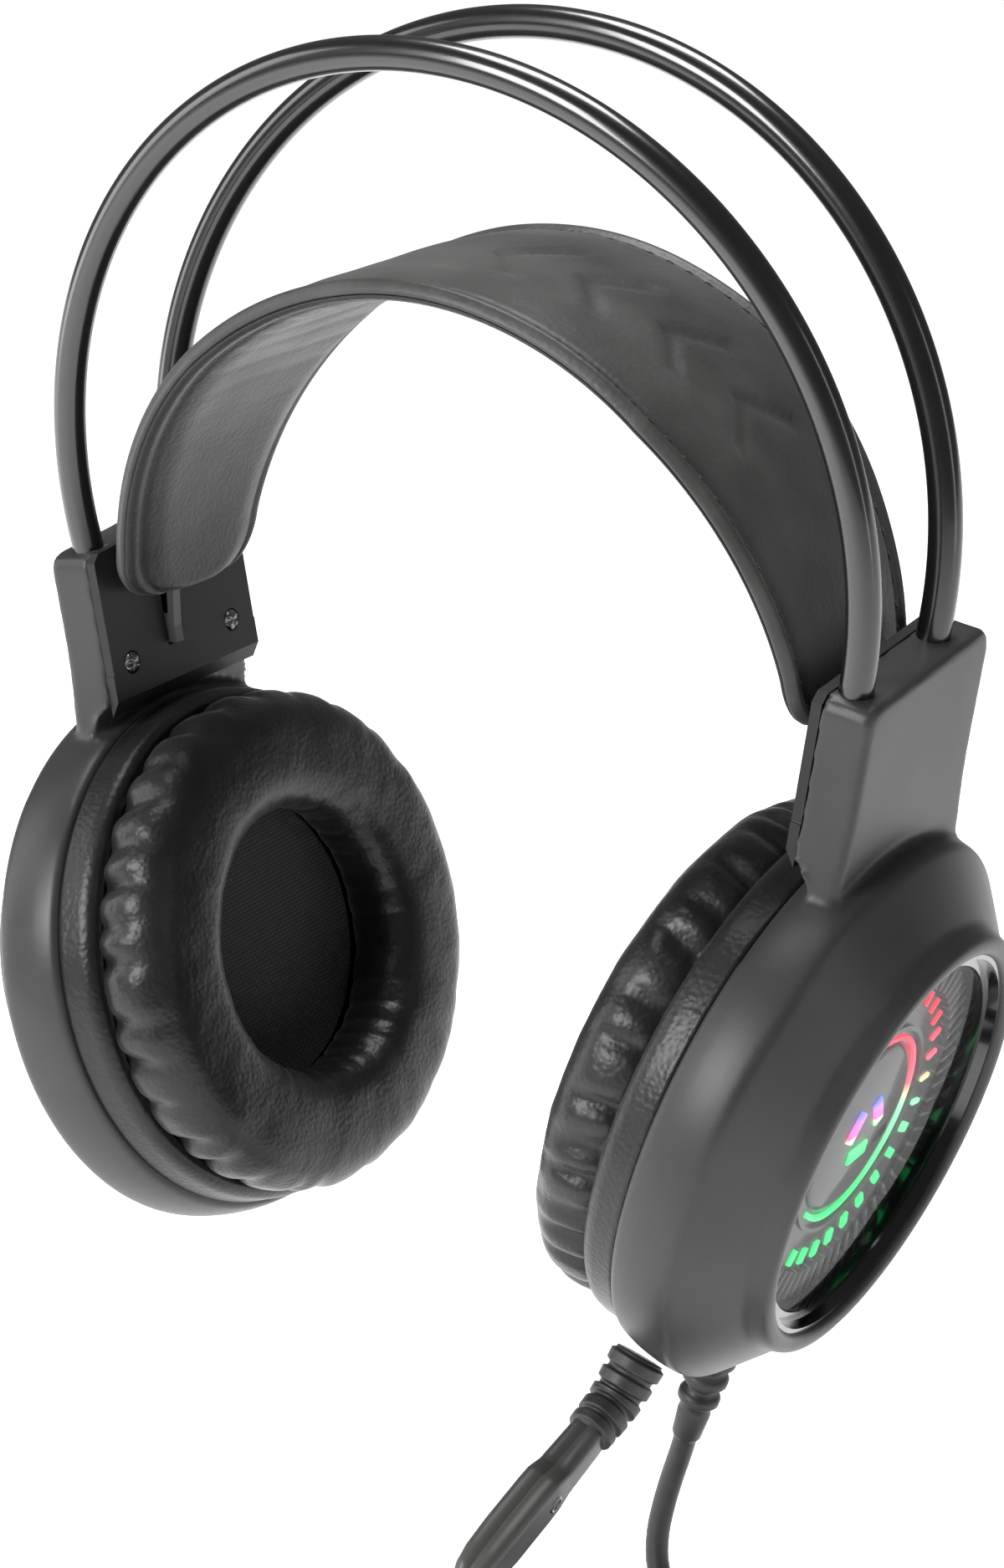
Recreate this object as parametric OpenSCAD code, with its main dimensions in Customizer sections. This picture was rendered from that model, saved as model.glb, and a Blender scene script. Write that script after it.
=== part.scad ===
// Wired gaming headset: twin-wire band, floating strap, lit cups, bendable microphone.
// Millimetres. Origin midway between the ear cushions, +X wearer's left, -Y front, +Z up.

/* [Band] */
// Bend radius of the two band wires
band_r = 78; // [77.8:0.1:78.2]
// Outside diameter of a band wire
band_d = 5.6; // [5.2:0.1:5.6]
// Distance between the two wires where they enter the arms
band_gap = 25.4; // [24.8:0.2:25.8]
// Angle by which each wire leans away from the other
band_lean = 4.3; // [3:0.1:4.6]

/* [Cups] */
// Distance from the middle of the headset to a cup's seam circle
cup_x = 56.6; // [56.4:0.1:57]
// Angle by which the cups lean in at the bottom
cup_tilt = 16; // [15.8:0.1:16.2]
// Radius of the seam between the housing and the cushion side
seam_r = 48; // [47.6:0.1:48.4]
// Largest radius of the housing
belly_r = 50.2; // [50:0.1:50.6]
// Depth of the housing from its seam to the rim of the lit face
shell_h = 24; // [23.8:0.1:24.4]
// Thickness of the ear cushion
cushion_h = 15; // [14:0.2:15.2]
// Radius of the ear opening
ear_r = 23.5; // [23:0.1:24.5]

/* [Arms] */
// Length of the arm above the cup's shoulder
arm_top = 30.5; // [30.2:0.1:30.8]
// Width of the arm from front to back
arm_w = 41; // [40.6:0.1:41.4]

/* [Strap] */
// Half the width of the strap's arch
strap_r = 66.8; // [66.4:0.1:67]
// Width of the strap at its highest point
strap_w = 53; // [50:0.5:54]
// Distance the strap rises to suit a taller head
strap_lift = 13; // [10:0.5:13]

/* [Microphone] */
// Length of the boom beyond its neck
boom_l = 38; // [36:0.5:40]

/* [Cord] */
// Diameter of the cord
cord_d = 4.2; // [4:0.1:4.4]

/* [Hidden] */
$fn = 72;
HULL_FN = 32;

cup_z = -5;
band_z = 86.6;
band_end = 108.5;
band_foot_z = 72.4;
band_bore = 0.05;
cable_d = 2.4;
cable_hole_d = 3.2;

wall = 2;
arm_at = [50, 2];
arm_turn = 7;
arm_s0 = -5.3;
arm_s1 = 5.3;
arm_x = 3;
arm_rise = 1.5;
wire_s = -0.7;
screw_at = [-12, 17];
arm_cover_t = 1.8;
arm_foot = -10;
boss_x0 = 6.6;
boss_x1 = 17;
boss_low = 18.5;
screw_h = 25;
slot_w = 2.8;
slot_low = 8.2;
slot_high = 27.4;

bevel_s = 11.6;
lip_r = 37.6;
lip_round = 1.5;
face_r = 35.4;
ledge_s = 16.6;
ledge_r = 32;
cover_s = 20.8;

skirt_s = -0.5;
cushion_s = -6.4;
cushion_r = 46.6;

strap_z = 62;
strap_rise = 65.4;
strap_power = 1.95;
strap_end_w = 39;
strap_low = 63;
strap_taper = 48;
tongue_low = 8.6;
tongue_h = 5;
tongue_s = 0.6;
stem_x = 68;

mic_turn = 35;
mic_s = 2.8;
mic_hinge_r = 59.5;
boom_dip = 23;

gland_turn = 2;
gland_s = 5;
gland_tip_r = 72;

floor_z = -124;
coil_at = [50, -33];
coil_mid_r = 24;
coil_w = 21.4;
coil_h = 13;
plug_at = [38, -68.6, -119.4];

// The cord from the gland down to the coil, and from the coil to the plug.
drop_route = [
    [41.6, -2.5, -75.5], [40.1, -2.6, -81], [38.7, -3.2, -86.3], [37.8, -4.4, -91.5], [37.6, -6, -96.3],
    [38.4, -7.6, -100.8], [40.4, -8.8, -104.6], [43.6, -9.5, -107.4], [47.6, -9.9, -108.9],
    [52, -10.4, -109.2], [57, -11.2, -109.6], [62, -14, -110.8], [65, -18, -112.6]
];
tail_route = [
    [80.3, -33, -121.9], [80.3, -39.6, -121.9], [79.9, -46, -121.9], [78.5, -52, -121.9],
    [75.7, -57.6, -121.9], [71.5, -62.4, -121.8], [66.1, -66, -121.4], [60, -68, -120.8],
    [53.6, -68.6, -120], [47.6, -68.6, -119.5], [43, -68.6, -119.4], [38, -68.6, -119.4]
];

// ---------- shared shapes ----------

// Place children from a cup's own frame: x to the rear, y up the cup, z outwards.
module left_cup() {
    translate([cup_x, 0, cup_z]) rotate([0, cup_tilt, 0]) rotate([90, 0, 90]) children();
}

module right_cup() {
    mirror([1, 0, 0]) left_cup() children();
}

// Place children from an arm's frame, which leans out of the cup's plane at the cup's shoulder.
module in_arm() {
    translate([0, arm_at[0], arm_at[1]]) rotate([-arm_turn, 0, 0]) children();
}

function arc(cx, cy, r, a0, a1, n) =
    [for (i = [0 : n]) let (a = a0 + (a1 - a0) * i / n) [cx + r * cos(a), cy + r * sin(a)]];

// A ring of material between two radii and two heights.
module ring(r0, r1, s0, s1) {
    rotate_extrude() translate([r0, s0]) square([r1 - r0, s1 - s0]);
}

// One band wire of radius r, bent round Y in the plane y = 0.
module hoop(r, reach) {
    translate([0, 0, band_z]) rotate([90, 0, 0]) rotate([0, 0, 90 - reach])
        rotate_extrude(angle = 2 * reach, $fn = 180) translate([band_r, 0]) circle(r = r, $fn = 32);
}

// Lean the front wire forwards and the rear wire back, about where they enter the arms.
module lean(front) {
    s = front ? -1 : 1;
    translate([0, s * band_gap / 2, band_foot_z]) rotate([-s * band_lean, 0, 0])
        translate([0, 0, -band_foot_z]) children();
}

// Outline of an arm seen along the cup's axis.
module arm_outline(inset, flare = 3) {
    w = arm_w / 2 - inset;
    translate([arm_x, 0]) polygon(concat(
        [[-w, arm_top - arm_rise - inset - 1.5], [-w + 1.5, arm_top - arm_rise - inset]],
        arc(w - 4, arm_top + arm_rise - inset - 4, 4, 90, 0, 5),
        arc(w + flare, 7, flare, 180, 250, 4),
        [[w + flare, arm_foot], [-w - flare, arm_foot]],
        arc(-w - flare, 7, flare, -70, 0, 4)
    ));
}

function unit(v) = v / norm(v);

// Points of a smooth curve through a list of points, n steps a span.
function spline(p, n) = concat(
    [for (i = [0 : len(p) - 2]) let (
        a = p[max(i - 1, 0)], b = p[i], c = p[i + 1], d = p[min(i + 2, len(p) - 1)]
    ) for (k = [0 : n - 1]) let (t = k / n)
        0.5 * (2 * b + (c - a) * t + (2 * a - 5 * b + 4 * c - d) * t * t
            + (3 * b - a - 3 * c + d) * t * t * t)],
    [p[len(p) - 1]]);

// A round tube swept along a curve that never runs along the given side direction.
module tube(route, d, side, sides = 8, steps = 1) {
    p = spline(route, steps);
    n = len(p);
    dirs = [for (i = [0 : n - 1]) unit(p[min(i + 1, n - 1)] - p[max(i - 1, 0)])];
    rings = [for (i = [0 : n - 1]) let (u = unit(cross(dirs[i], side)), v = cross(dirs[i], u))
        for (k = [0 : sides - 1]) let (a = 360 * k / sides)
            p[i] + d / 2 * (cos(a) * u + sin(a) * v)];
    walls = [for (i = [0 : n - 2]) for (k = [0 : sides - 1]) let (j = (k + 1) % sides)
        [i * sides + k, i * sides + j, (i + 1) * sides + j, (i + 1) * sides + k]];
    ends = [[for (k = [sides - 1 : -1 : 0]) k], [for (k = [0 : sides - 1]) (n - 1) * sides + k]];
    polyhedron(points = rings, faces = concat(walls, ends), convexity = 6);
}

// ---------- band ----------

module front_band() {
    color("#262626") lean(true) hoop(band_d / 2, band_end);
}

module rear_band() {
    color("#262626") lean(false) difference() {
        hoop(band_d / 2, band_end);
        hoop(cable_hole_d / 2, band_end + 2);
    }
}

// Signal cable from the left cup to the right cup, inside the rear wire.
module crossover_cable() {
    color("#1a1a1a") lean(false) hoop(cable_d / 2, band_end + 3);
}

// ---------- cup housing ----------

housing_profile = concat(
    [[seam_r, 0], [seam_r + 1.6, 2.6], [belly_r - 0.3, 6], [belly_r, 8.6], [belly_r - 0.5, bevel_s]],
    [[lip_r + 1.2, shell_h - 2.6]],
    arc(lip_r - 0.4, shell_h - lip_round, lip_round, 20, 160, 5),
    [[face_r, shell_h - 2.4], [face_r, ledge_s], [ledge_r, ledge_s], [ledge_r, ledge_s - 1.6],
     [lip_r - 1, ledge_s - 1.6], [belly_r - wall - 1, bevel_s - 0.6], [belly_r - wall - 0.2, 6],
     [seam_r - wall, 0]]
);

module cup_shell() {
    rotate_extrude($fn = 120) polygon(housing_profile);
}

// Posts that take the three cup screws.
module cup_posts(r, s0, s1) {
    for (a = [30, 150, 270]) rotate([0, 0, a]) translate([40.5, 0, s0]) cylinder(r = r, h = s1 - s0, $fn = 32);
}

// Box of the arm, open towards the head, with a block on each side for a band wire.
module arm_shell() {
    in_arm() difference() {
        translate([0, 0, arm_s0]) linear_extrude(arm_s1 - arm_s0) arm_outline(0);
        translate([0, 0, arm_s0 - 1]) linear_extrude(arm_cover_t + 1) arm_outline(-1);
        translate([0, 0, arm_s0 - 1]) linear_extrude(arm_s1 - arm_s0 + 1 - wall) difference() {
            arm_outline(wall);
            for (m = [0, 1]) mirror([m, 0]) translate([boss_x0, boss_low])
                square([boss_x1 - boss_x0, arm_top - boss_low]);
            for (x = screw_at) translate([x, 8]) circle(r = 2.4, $fn = 32);
        }
        for (x = screw_at) translate([x, 8, arm_s0]) cylinder(r = 1, h = 5, $fn = 32);
        foot_wedge();
    }
}

// Slopes the arm's foot back to the cup's seam.
module foot_wedge() {
    translate([-60, 0, 0]) rotate([90, 0, 90]) linear_extrude(120)
        polygon([[-30, -12], [6, -12], [2, -5.3], [-6.5, 0.2], [-30, 0.2]]);
}

// Everything of the housing in the cup's frame.
module housing_solid() {
    difference() {
        union() {
            cup_shell();
            difference() {
                arm_shell();
                translate([0, 0, -20]) cylinder(r = seam_r, h = 19.7);
                translate([0, 0, -20]) cylinder(r = seam_r - 0.6, h = 40);
                rotate_extrude() polygon([[0, -1], [seam_r - 1, -1], [belly_r - wall, 6],
                    [belly_r - wall - 1, bevel_s], [0, 20]]);
            }
            cup_posts(3.2, 0, bevel_s + 2);
        }
        cup_posts(1.1, -1, 8);
    }
}

module housing_cuts() {
    for (f = [true, false]) lean(f) hoop(band_d / 2 + band_bore, band_end + 4);
}

module set_screw_holes(r) {
    in_arm() for (m = [0, 1]) mirror([m, 0, 0]) translate([boss_x0 - 0.5, screw_h, wire_s])
        rotate([0, 90, 0]) cylinder(r = r, h = 3.2, $fn = 32);
}

module housing(left) {
    color("#3b3b3b") difference() {
        if (left) left_cup() housing_solid(); else right_cup() housing_solid();
        housing_cuts();
        if (left) {
            left_cup() set_screw_holes(1.3);
            left_cup() mic_socket_hole();
            left_cup() gland_hole();
        } else {
            right_cup() set_screw_holes(1.3);
        }
    }
}

// Radial holes in the rim for the microphone's neck and the cord's gland.
module mic_socket_hole() {
    rotate([0, 0, -mic_turn]) translate([0, -belly_r - 6, mic_s]) rotate([-90, 0, 0])
        cylinder(r = 2.6, h = 14, $fn = 48);
}

module gland_hole() {
    rotate([0, 0, -gland_turn]) translate([0, -belly_r - 6, gland_s]) rotate([-90, 0, 0])
        cylinder(r = 3, h = 14, $fn = 48);
}

// Inner half of the arm, with the slot that the strap's slider runs in.
module arm_cover_solid() {
    difference() {
        in_arm() difference() {
            translate([0, 0, arm_s0]) linear_extrude(arm_cover_t) arm_outline(0.1, 0.3);
            foot_wedge();
            translate([-slot_w / 2, slot_low, arm_s0 - 1])
                cube([slot_w, slot_high - slot_low, arm_cover_t + 2]);
            for (x = screw_at) translate([x, 8, arm_s0 - 1]) {
                cylinder(r = 1.2, h = 4, $fn = 32);
                cylinder(r = 2.1, h = 2, $fn = 32);
            }
        }
        translate([0, 0, -30]) cylinder(r = seam_r + 0.3, h = 60);
    }
}

module arm_cover(left) {
    color("#2c2c2c") difference() {
        if (left) left_cup() arm_cover_solid(); else right_cup() arm_cover_solid();
        housing_cuts();
    }
}

module arm_screw_set() {
    in_arm() for (x = screw_at) translate([x, 8, arm_s0 + 0.1]) {
        cylinder(r = 1.9, h = 0.85, $fn = 32);
        cylinder(r = 0.9, h = 3.4, $fn = 32);
    }
}

module arm_screws() {
    color("#8a8a8a") {
        left_cup() arm_screw_set();
        right_cup() arm_screw_set();
    }
}

module set_screw_pair() {
    in_arm() for (m = [0, 1]) mirror([m, 0, 0]) translate([boss_x0 - 0.2, screw_h, wire_s])
        rotate([0, 90, 0]) cylinder(r = 1.2, h = 2.4, $fn = 32);
}

module band_set_screws() {
    color("#8a8a8a") {
        left_cup() set_screw_pair();
        right_cup() set_screw_pair();
    }
}

module cup_screw_set() {
    cup_posts(1, -2, 7);
    cup_posts(2, -3.2, -2);
}

module cup_screws() {
    color("#8a8a8a") {
        left_cup() cup_screw_set();
        right_cup() cup_screw_set();
    }
}

// ---------- lit face ----------

// Gloss ring that lines the recess of the lit face.
module light_bezel() {
    color("#0c0c0c") difference() {
        ring(ledge_r + 0.4, face_r - 0.1, ledge_s + 0.1, shell_h - 1.4);
        translate([0, 0, cover_s]) cylinder(r1 = face_r - 1.4, r2 = face_r - 0.6, h = 3);
    }
}

dash_r = 24.5;
dash_n = 20;
dash_step = 11.7;
dash_from = 104;
fin_n = 60;

// Light dashes grow wider towards the bottom of the face.
function dash_w(i) = i < 11 ? 0.8 : 1.7;

// Black plate with raised radial fins and a slot for each light dash.
module spoke_disc() {
    color("#151515") difference() {
        union() {
            translate([0, 0, ledge_s - 1.4]) cylinder(r = ledge_r - 0.2, h = 1.2);
            ring(18.6, 19.4, ledge_s - 0.3, ledge_s + 0.6);
            for (i = [0 : fin_n - 1]) rotate([0, 0, 360 * i / fin_n])
                translate([26.4, -0.3, ledge_s - 0.3]) cube([5.2, 0.6, 1.5]);
        }
        for (i = [0 : dash_n - 1]) rotate([0, 0, dash_from - dash_step * i])
            translate([dash_r - 1.6, -dash_w(i) / 2 - 0.2, ledge_s - 2]) cube([3.2, dash_w(i) + 0.4, 4]);
        translate([0, 0, ledge_s - 2]) cylinder(r = 9.5, h = 4);
        rotate([0, 0, -22]) arc_slot(16.4, 17.6, ledge_s - 2, ledge_s + 1, 112);
    }
}

module arc_slot(r0, r1, s0, s1, half) {
    rotate([0, 0, -half]) rotate_extrude(angle = 2 * half) translate([r0, s0]) square([r1 - r0, s1 - s0]);
}

// Clear guide whose dashes and arcs stand up through the spoke disc.
module light_ring() {
    color("#f04060") {
        ring(14.6, 27, ledge_s - 2.9, ledge_s - 1.6);
        for (i = [0 : dash_n - 1]) rotate([0, 0, dash_from - dash_step * i])
            translate([dash_r - 1.4, -dash_w(i) / 2, ledge_s - 1.7]) cube([2.8, dash_w(i), 1.9]);
        rotate([0, 0, -22]) arc_slot(16.6, 17.4, ledge_s - 1.7, ledge_s + 0.3, 110);
    }
}

// Plain mark in the middle of the face: three bars round a centre.
module emblem() {
    color("#60d090") {
        translate([0, 0, ledge_s - 1.4]) cylinder(r = 9.2, h = 1.2);
        for (i = [0 : 2]) rotate([0, 0, 120 * i + 30]) translate([3.4, -3, ledge_s - 0.4]) cube([2.6, 6, 1.2]);
    }
}

// Domed clear cover over the whole face.
module light_cover() {
    color("#b8c4cc") rotate_extrude() polygon(concat(
        [[0, cover_s - 0.6], [ledge_r + 0.2, cover_s - 1.6], [ledge_r + 0.2, cover_s - 0.4]],
        [[20, cover_s + 0.35], [0, cover_s + 0.8]]
    ));
}

module led_board() {
    color("#1f5a34") difference() {
        translate([0, 0, ledge_s - 8.4]) cylinder(r = 28, h = 1.2);
        translate([0, 0, ledge_s - 9]) cylinder(r = 5, h = 3);
    }
}

module leds() {
    color("#f0f0e8") for (i = [0 : 11]) rotate([0, 0, 30 * i + 15])
        translate([dash_r - 1.6, -1.6, ledge_s - 7.1]) cube([3.2, 3.2, 1.2]);
}

// ---------- speaker side ----------

module baffle() {
    color("#303030") difference() {
        union() {
            ring(20.4, seam_r - 2.2, -2, -0.2);
            ring(seam_r - 4.2, seam_r - 2.2, -6, -0.2);
            translate([0, 0, -3.8]) cylinder(r = 26, h = 3.6);
        }
        translate([0, 0, -2.6]) cylinder(r = 24.4, h = 4);
        for (a = [0 : 30 : 330]) rotate([0, 0, a]) translate([12, 0, -5]) cylinder(r = 2, h = 4, $fn = 24);
        translate([0, 0, -5]) cylinder(r = 5, h = 4);
        cup_posts(1.2, -8, 1);
        cup_posts(2.2, -8, -1.8 + 0.01);
    }
}

module driver_frame() {
    color("#4a4a4a") difference() {
        union() {
            ring(20.5, 24, -2.4, -1.2);
            ring(19, 20.5, -2.4, 3);
            translate([0, 0, 3]) cylinder(r = 20.5, h = 1.2);
        }
        translate([0, 0, 2]) cylinder(r = 11.2, h = 4);
    }
}

module driver_magnet() {
    color("#707070") {
        translate([0, 0, 2]) cylinder(r = 11, h = 6);
    }
}

module diaphragm() {
    color("#b09a60") rotate_extrude() polygon([
        [0, -0.6], [8, -1.2], [12, -2], [18.6, -1.8], [18.6, -1.6], [12, -1.75], [8, -0.95], [0, -0.35]
    ]);
}

module speaker_cloth() {
    color("#202020") translate([0, 0, -4.6]) cylinder(r = 27, h = 0.6);
}

module cushion_ring() {
    color("#2a2a2a") ring(33, 42.6, -5.8, -4.4);
}

// Stuffed pad with its skirt stretched over the baffle's rim.
module ear_cushion() {
    front = cushion_s - cushion_h;
    color("#161616") rotate_extrude() polygon(concat(
        [[ear_r + 2.5, cushion_s], [ear_r + 0.3, cushion_s - 3.5]],
        arc(ear_r + 7, front + 7, 7, 180, 270, 5),
        arc(cushion_r - 8, front + 8, 8, 270, 360, 5),
        [[cushion_r, cushion_s - 2], [cushion_r - 0.3, cushion_s - 0.6], [seam_r - 1, cushion_s + 1.2],
         [seam_r - 0.6, skirt_s], [seam_r - 1.6, skirt_s], [seam_r - 1.8, cushion_s]]
    ));
}

// Small board behind the left driver for sound, lights and microphone.
module control_board() {
    color("#1f5a34") left_cup() translate([-13, -34, 5]) cube([26, 12, 1.2]);
}

// ---------- strap ----------

// Outline of the strap seen from the side: full width above, narrower and round at its ends.
module strap_outline(inset) {
    w = strap_w / 2 - inset;
    e = strap_end_w / 2 - inset;
    c = 9;
    polygon(concat(
        [[w, strap_z + strap_rise + 9], [w, strap_low + strap_taper], [e, strap_low + c + inset]],
        arc(e - c, strap_low + c + inset, c, 0, -90, 5),
        arc(-e + c, strap_low + c + inset, c, -90, -180, 5),
        [[-w, strap_low + strap_taper], [-w, strap_z + strap_rise + 9]]
    ));
}

// Arch of the strap seen from the front, grown outwards by t.
module strap_arch(t) {
    n = 60;
    polygon([for (i = [0 : n]) let (a = 180 * i / n, c = cos(a), q = 2 / strap_power)
        [sign(c) * (strap_r + t) * pow(abs(c), q), (strap_rise + t) * pow(sin(a), q)]]);
}

module strap_layer(t0, t1, inset) {
    intersection() {
        translate([0, 60, strap_z]) rotate([90, 0, 0]) linear_extrude(120) difference() {
            strap_arch(t1);
            strap_arch(t0);
        }
        rotate([90, 0, 90]) translate([arm_x, 0, -100]) linear_extrude(200) strap_outline(inset);
    }
}

// Pockets in both ends of the strap that the slider stems stand in.
module stem_pockets() {
    for (m = [0, 1]) mirror([m, 0, 0]) translate([stem_x - 0.8, -1.1, strap_low - 10]) cube([1.6, 2.2, 19.2]);
}

module strap_cover() {
    color("#4c4c4a") difference() {
        strap_layer(0.6, 2.2, 0);
        stem_pockets();
    }
}

module strap_core() {
    color("#2a2a2a") difference() {
        strap_layer(-0.5, 0.5, 2);
        stem_pockets();
    }
}

module strap_pad() {
    color("#2e2e2e") difference() {
        strap_layer(-3.2, -0.6, 0.5);
        stem_pockets();
    }
}

// Block inside the arm, neck through the slot and stem up to the strap's end.
module slider_solid() {
    in_arm() {
        translate([-5.4, tongue_low, tongue_s]) cube([10.8, tongue_h, 1.6]);
        translate([-1, tongue_low, arm_s0 - 1.6]) cube([2, tongue_h, tongue_s - arm_s0 + 1.6]);
    }
}

module slider_stem() {
    translate([stem_x - 0.7, -1, strap_low - 9.5]) cube([1.4, 2, 18.5]);
}

module slider(left) {
    color("#6e6e6e") mirror([left ? 0 : 1, 0, 0]) union() {
        left_cup() slider_solid();
        slider_stem();
    }
}

// Flat elastic that pulls the slider back down.
module elastic_solid() {
    in_arm() translate([-4, 1.4, tongue_s + 0.3]) cube([8, tongue_low - 1.6, 1]);
}

// ---------- microphone ----------

module mic_place() {
    left_cup() rotate([0, 0, -mic_turn]) translate([0, -mic_hinge_r, mic_s]) children();
}

// Neck stub fixed in the rim of the left cup, with a round seat for the knuckle.
module mic_neck_root() {
    color("#2b2b2b") mic_place() difference() {
        rotate([-90, 0, 0]) union() {
            translate([0, 0, 3]) cylinder(r = 4.6, h = 5.2);
            translate([0, 0, 8.1]) cylinder(r = 2.5, h = 6.6);
        }
        cylinder(r = 4.5, h = 20, center = true, $fn = 48);
    }
}

// Knuckle that turns about the cup's axis, with the boom's spigot.
module mic_neck_ball() {
    color("#2b2b2b") boom_place() {
        cylinder(r = 4.2, h = 7.6, center = true, $fn = 48);
        rotate([0, 90, 0]) translate([0, 0, 2.6]) cylinder(r = 3.1, h = 4.1);
    }
}

// Turn from the neck's direction to the boom's direction, in the plane of the cup.
module boom_place() {
    left_cup() rotate([0, 0, -mic_turn]) translate([0, -mic_hinge_r, mic_s])
        rotate([0, 0, 180 + boom_dip + mic_turn]) children();
}

module boom_outline(inset) {
    polygon([
        [6.8, -3 + inset], [19, -3.4 + inset], [21, -4.8 + inset], [boom_l + 1, -4.8 + inset],
        [boom_l + 6 - inset, -1], [boom_l + 6 - inset, 1.6], [boom_l + 2, 4.6 - inset],
        [20, 4.6 - inset], [6.8, 3.6 - inset]
    ]);
}

module boom_half(s0, s1) {
    difference() {
        translate([0, 0, s0]) linear_extrude(s1 - s0) boom_outline(0);
        translate([26, 0, 0]) cylinder(r = 3.2, h = 5, center = true);
        translate([26, 0, -10]) cylinder(r = 1.1, h = 20, $fn = 32);
        translate([-0.5, -1.2, -1.2]) cube([25, 2.4, 2.4]);
    }
}

module mic_boom() {
    color("#3f3f3d") boom_place() boom_half(-3.3, -0.05);
}

module mic_boom_cover() {
    color("#3f3f3d") boom_place() boom_half(0.05, 3.3);
}

module mic_capsule() {
    color("#9a9a9a") boom_place() translate([26, 0, 0]) cylinder(r = 3, h = 4.4, center = true);
}

// ---------- cord ----------

module cord_gland() {
    color("#2b2b2b") left_cup() rotate([0, 0, -gland_turn]) translate([0, 0, gland_s]) rotate([90, 0, 0]) {
        translate([0, 0, 45]) cylinder(r = 2.9, h = 6.6);
        translate([0, 0, 51.5]) cylinder(r = 4.4, h = 2);
        translate([0, 0, 53.5]) cylinder(r1 = 3.8, r2 = 2.8, h = gland_tip_r - 53.5);
    }
}

module cord_drop() {
    color("#222222") tube(drop_route, cord_d, [0, 1, 0]);
}

module cord_tail() {
    color("#222222") tube(tail_route, cord_d, [0, 0, 1]);
}

module cord_coil() {
    color("#222222") translate([coil_at[0], coil_at[1], floor_z]) rotate_extrude()
        polygon([[coil_mid_r - coil_w / 2 + 2, 0], [coil_mid_r + coil_w / 2 - 2, 0],
            [coil_mid_r + coil_w / 2, 2.5], [coil_mid_r + coil_w / 2, coil_h - 3],
            [coil_mid_r + coil_w / 2 - 3, coil_h], [coil_mid_r - coil_w / 2 + 3, coil_h],
            [coil_mid_r - coil_w / 2, coil_h - 3], [coil_mid_r - coil_w / 2, 2.5]]);
}

// Hook and loop tie round one side of the coil.
module cord_tie() {
    color("#101010") translate([coil_at[0] - coil_mid_r, coil_at[1], floor_z + coil_h / 2]) difference() {
        cube([coil_w + 3, 10, coil_h + 3], center = true);
        cube([coil_w + 0.6, 12, coil_h + 0.6], center = true);
        translate([0, 0, -coil_h / 2 - 5]) cube([60, 60, 10], center = true);
    }
}

module usb_plug_body() {
    color("#1c1c1c") translate(plug_at) {
        rotate([0, -90, 0]) cylinder(r1 = 2.5, r2 = 3.4, h = 12);
        translate([-38, -8, -4.2]) cube([27, 16, 8.4]);
    }
}

module usb_plug_shell() {
    color("#c8c8c8") translate([plug_at[0] - 38 - 18.8, plug_at[1] - 6, plug_at[2] - 2.25]) difference() {
        cube([18.8, 12, 4.5]);
        translate([-1, 0.35, 0.35]) cube([19, 11.3, 3.8]);
    }
}

module usb_plug_tongue() {
    color("#e8e8e8") translate([plug_at[0] - 38 - 18, plug_at[1] - 5.6, plug_at[2] - 1.85]) cube([17.2, 11.2, 1.8]);
}

front_band();
rear_band();
crossover_cable();
strap_cover();
strap_core();
strap_pad();
slider(true);  // slider_left
slider(false);  // slider_right
color("#505050") left_cup() elastic_solid();  // strap_elastic_left
color("#505050") right_cup() elastic_solid();  // strap_elastic_right
housing(true);  // housing_left
housing(false);  // housing_right
arm_cover(true);  // arm_cover_left
arm_cover(false);  // arm_cover_right
band_set_screws();
arm_screws();
cup_screws();
left_cup() light_bezel();  // light_bezel_left
right_cup() light_bezel();  // light_bezel_right
left_cup() spoke_disc();  // spoke_disc_left
right_cup() spoke_disc();  // spoke_disc_right
left_cup() light_ring();  // light_ring_left
right_cup() light_ring();  // light_ring_right
left_cup() emblem();  // emblem_left
right_cup() emblem();  // emblem_right
left_cup() light_cover();  // light_cover_left
right_cup() light_cover();  // light_cover_right
left_cup() led_board();  // led_board_left
right_cup() led_board();  // led_board_right
left_cup() leds();  // leds_left
right_cup() leds();  // leds_right
left_cup() baffle();  // baffle_left
right_cup() baffle();  // baffle_right
left_cup() driver_frame();  // driver_frame_left
right_cup() driver_frame();  // driver_frame_right
left_cup() driver_magnet();  // driver_magnet_left
right_cup() driver_magnet();  // driver_magnet_right
left_cup() diaphragm();  // diaphragm_left
right_cup() diaphragm();  // diaphragm_right
left_cup() speaker_cloth();  // speaker_cloth_left
right_cup() speaker_cloth();  // speaker_cloth_right
left_cup() cushion_ring();  // cushion_ring_left
right_cup() cushion_ring();  // cushion_ring_right
left_cup() ear_cushion();  // ear_cushion_left
right_cup() ear_cushion();  // ear_cushion_right
control_board();
mic_neck_root();
mic_neck_ball();
mic_boom();
mic_boom_cover();
mic_capsule();
cord_gland();
cord_drop();
cord_coil();
cord_tie();
cord_tail();
usb_plug_body();
usb_plug_shell();
usb_plug_tongue();
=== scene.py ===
"""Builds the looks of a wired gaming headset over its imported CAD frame."""

import logging
import math
from dataclasses import dataclass, field
from enum import Enum
from random import Random
from typing import Callable, Iterable, Sequence

import bmesh
import bpy
from mathutils import Matrix, Vector, noise


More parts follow.
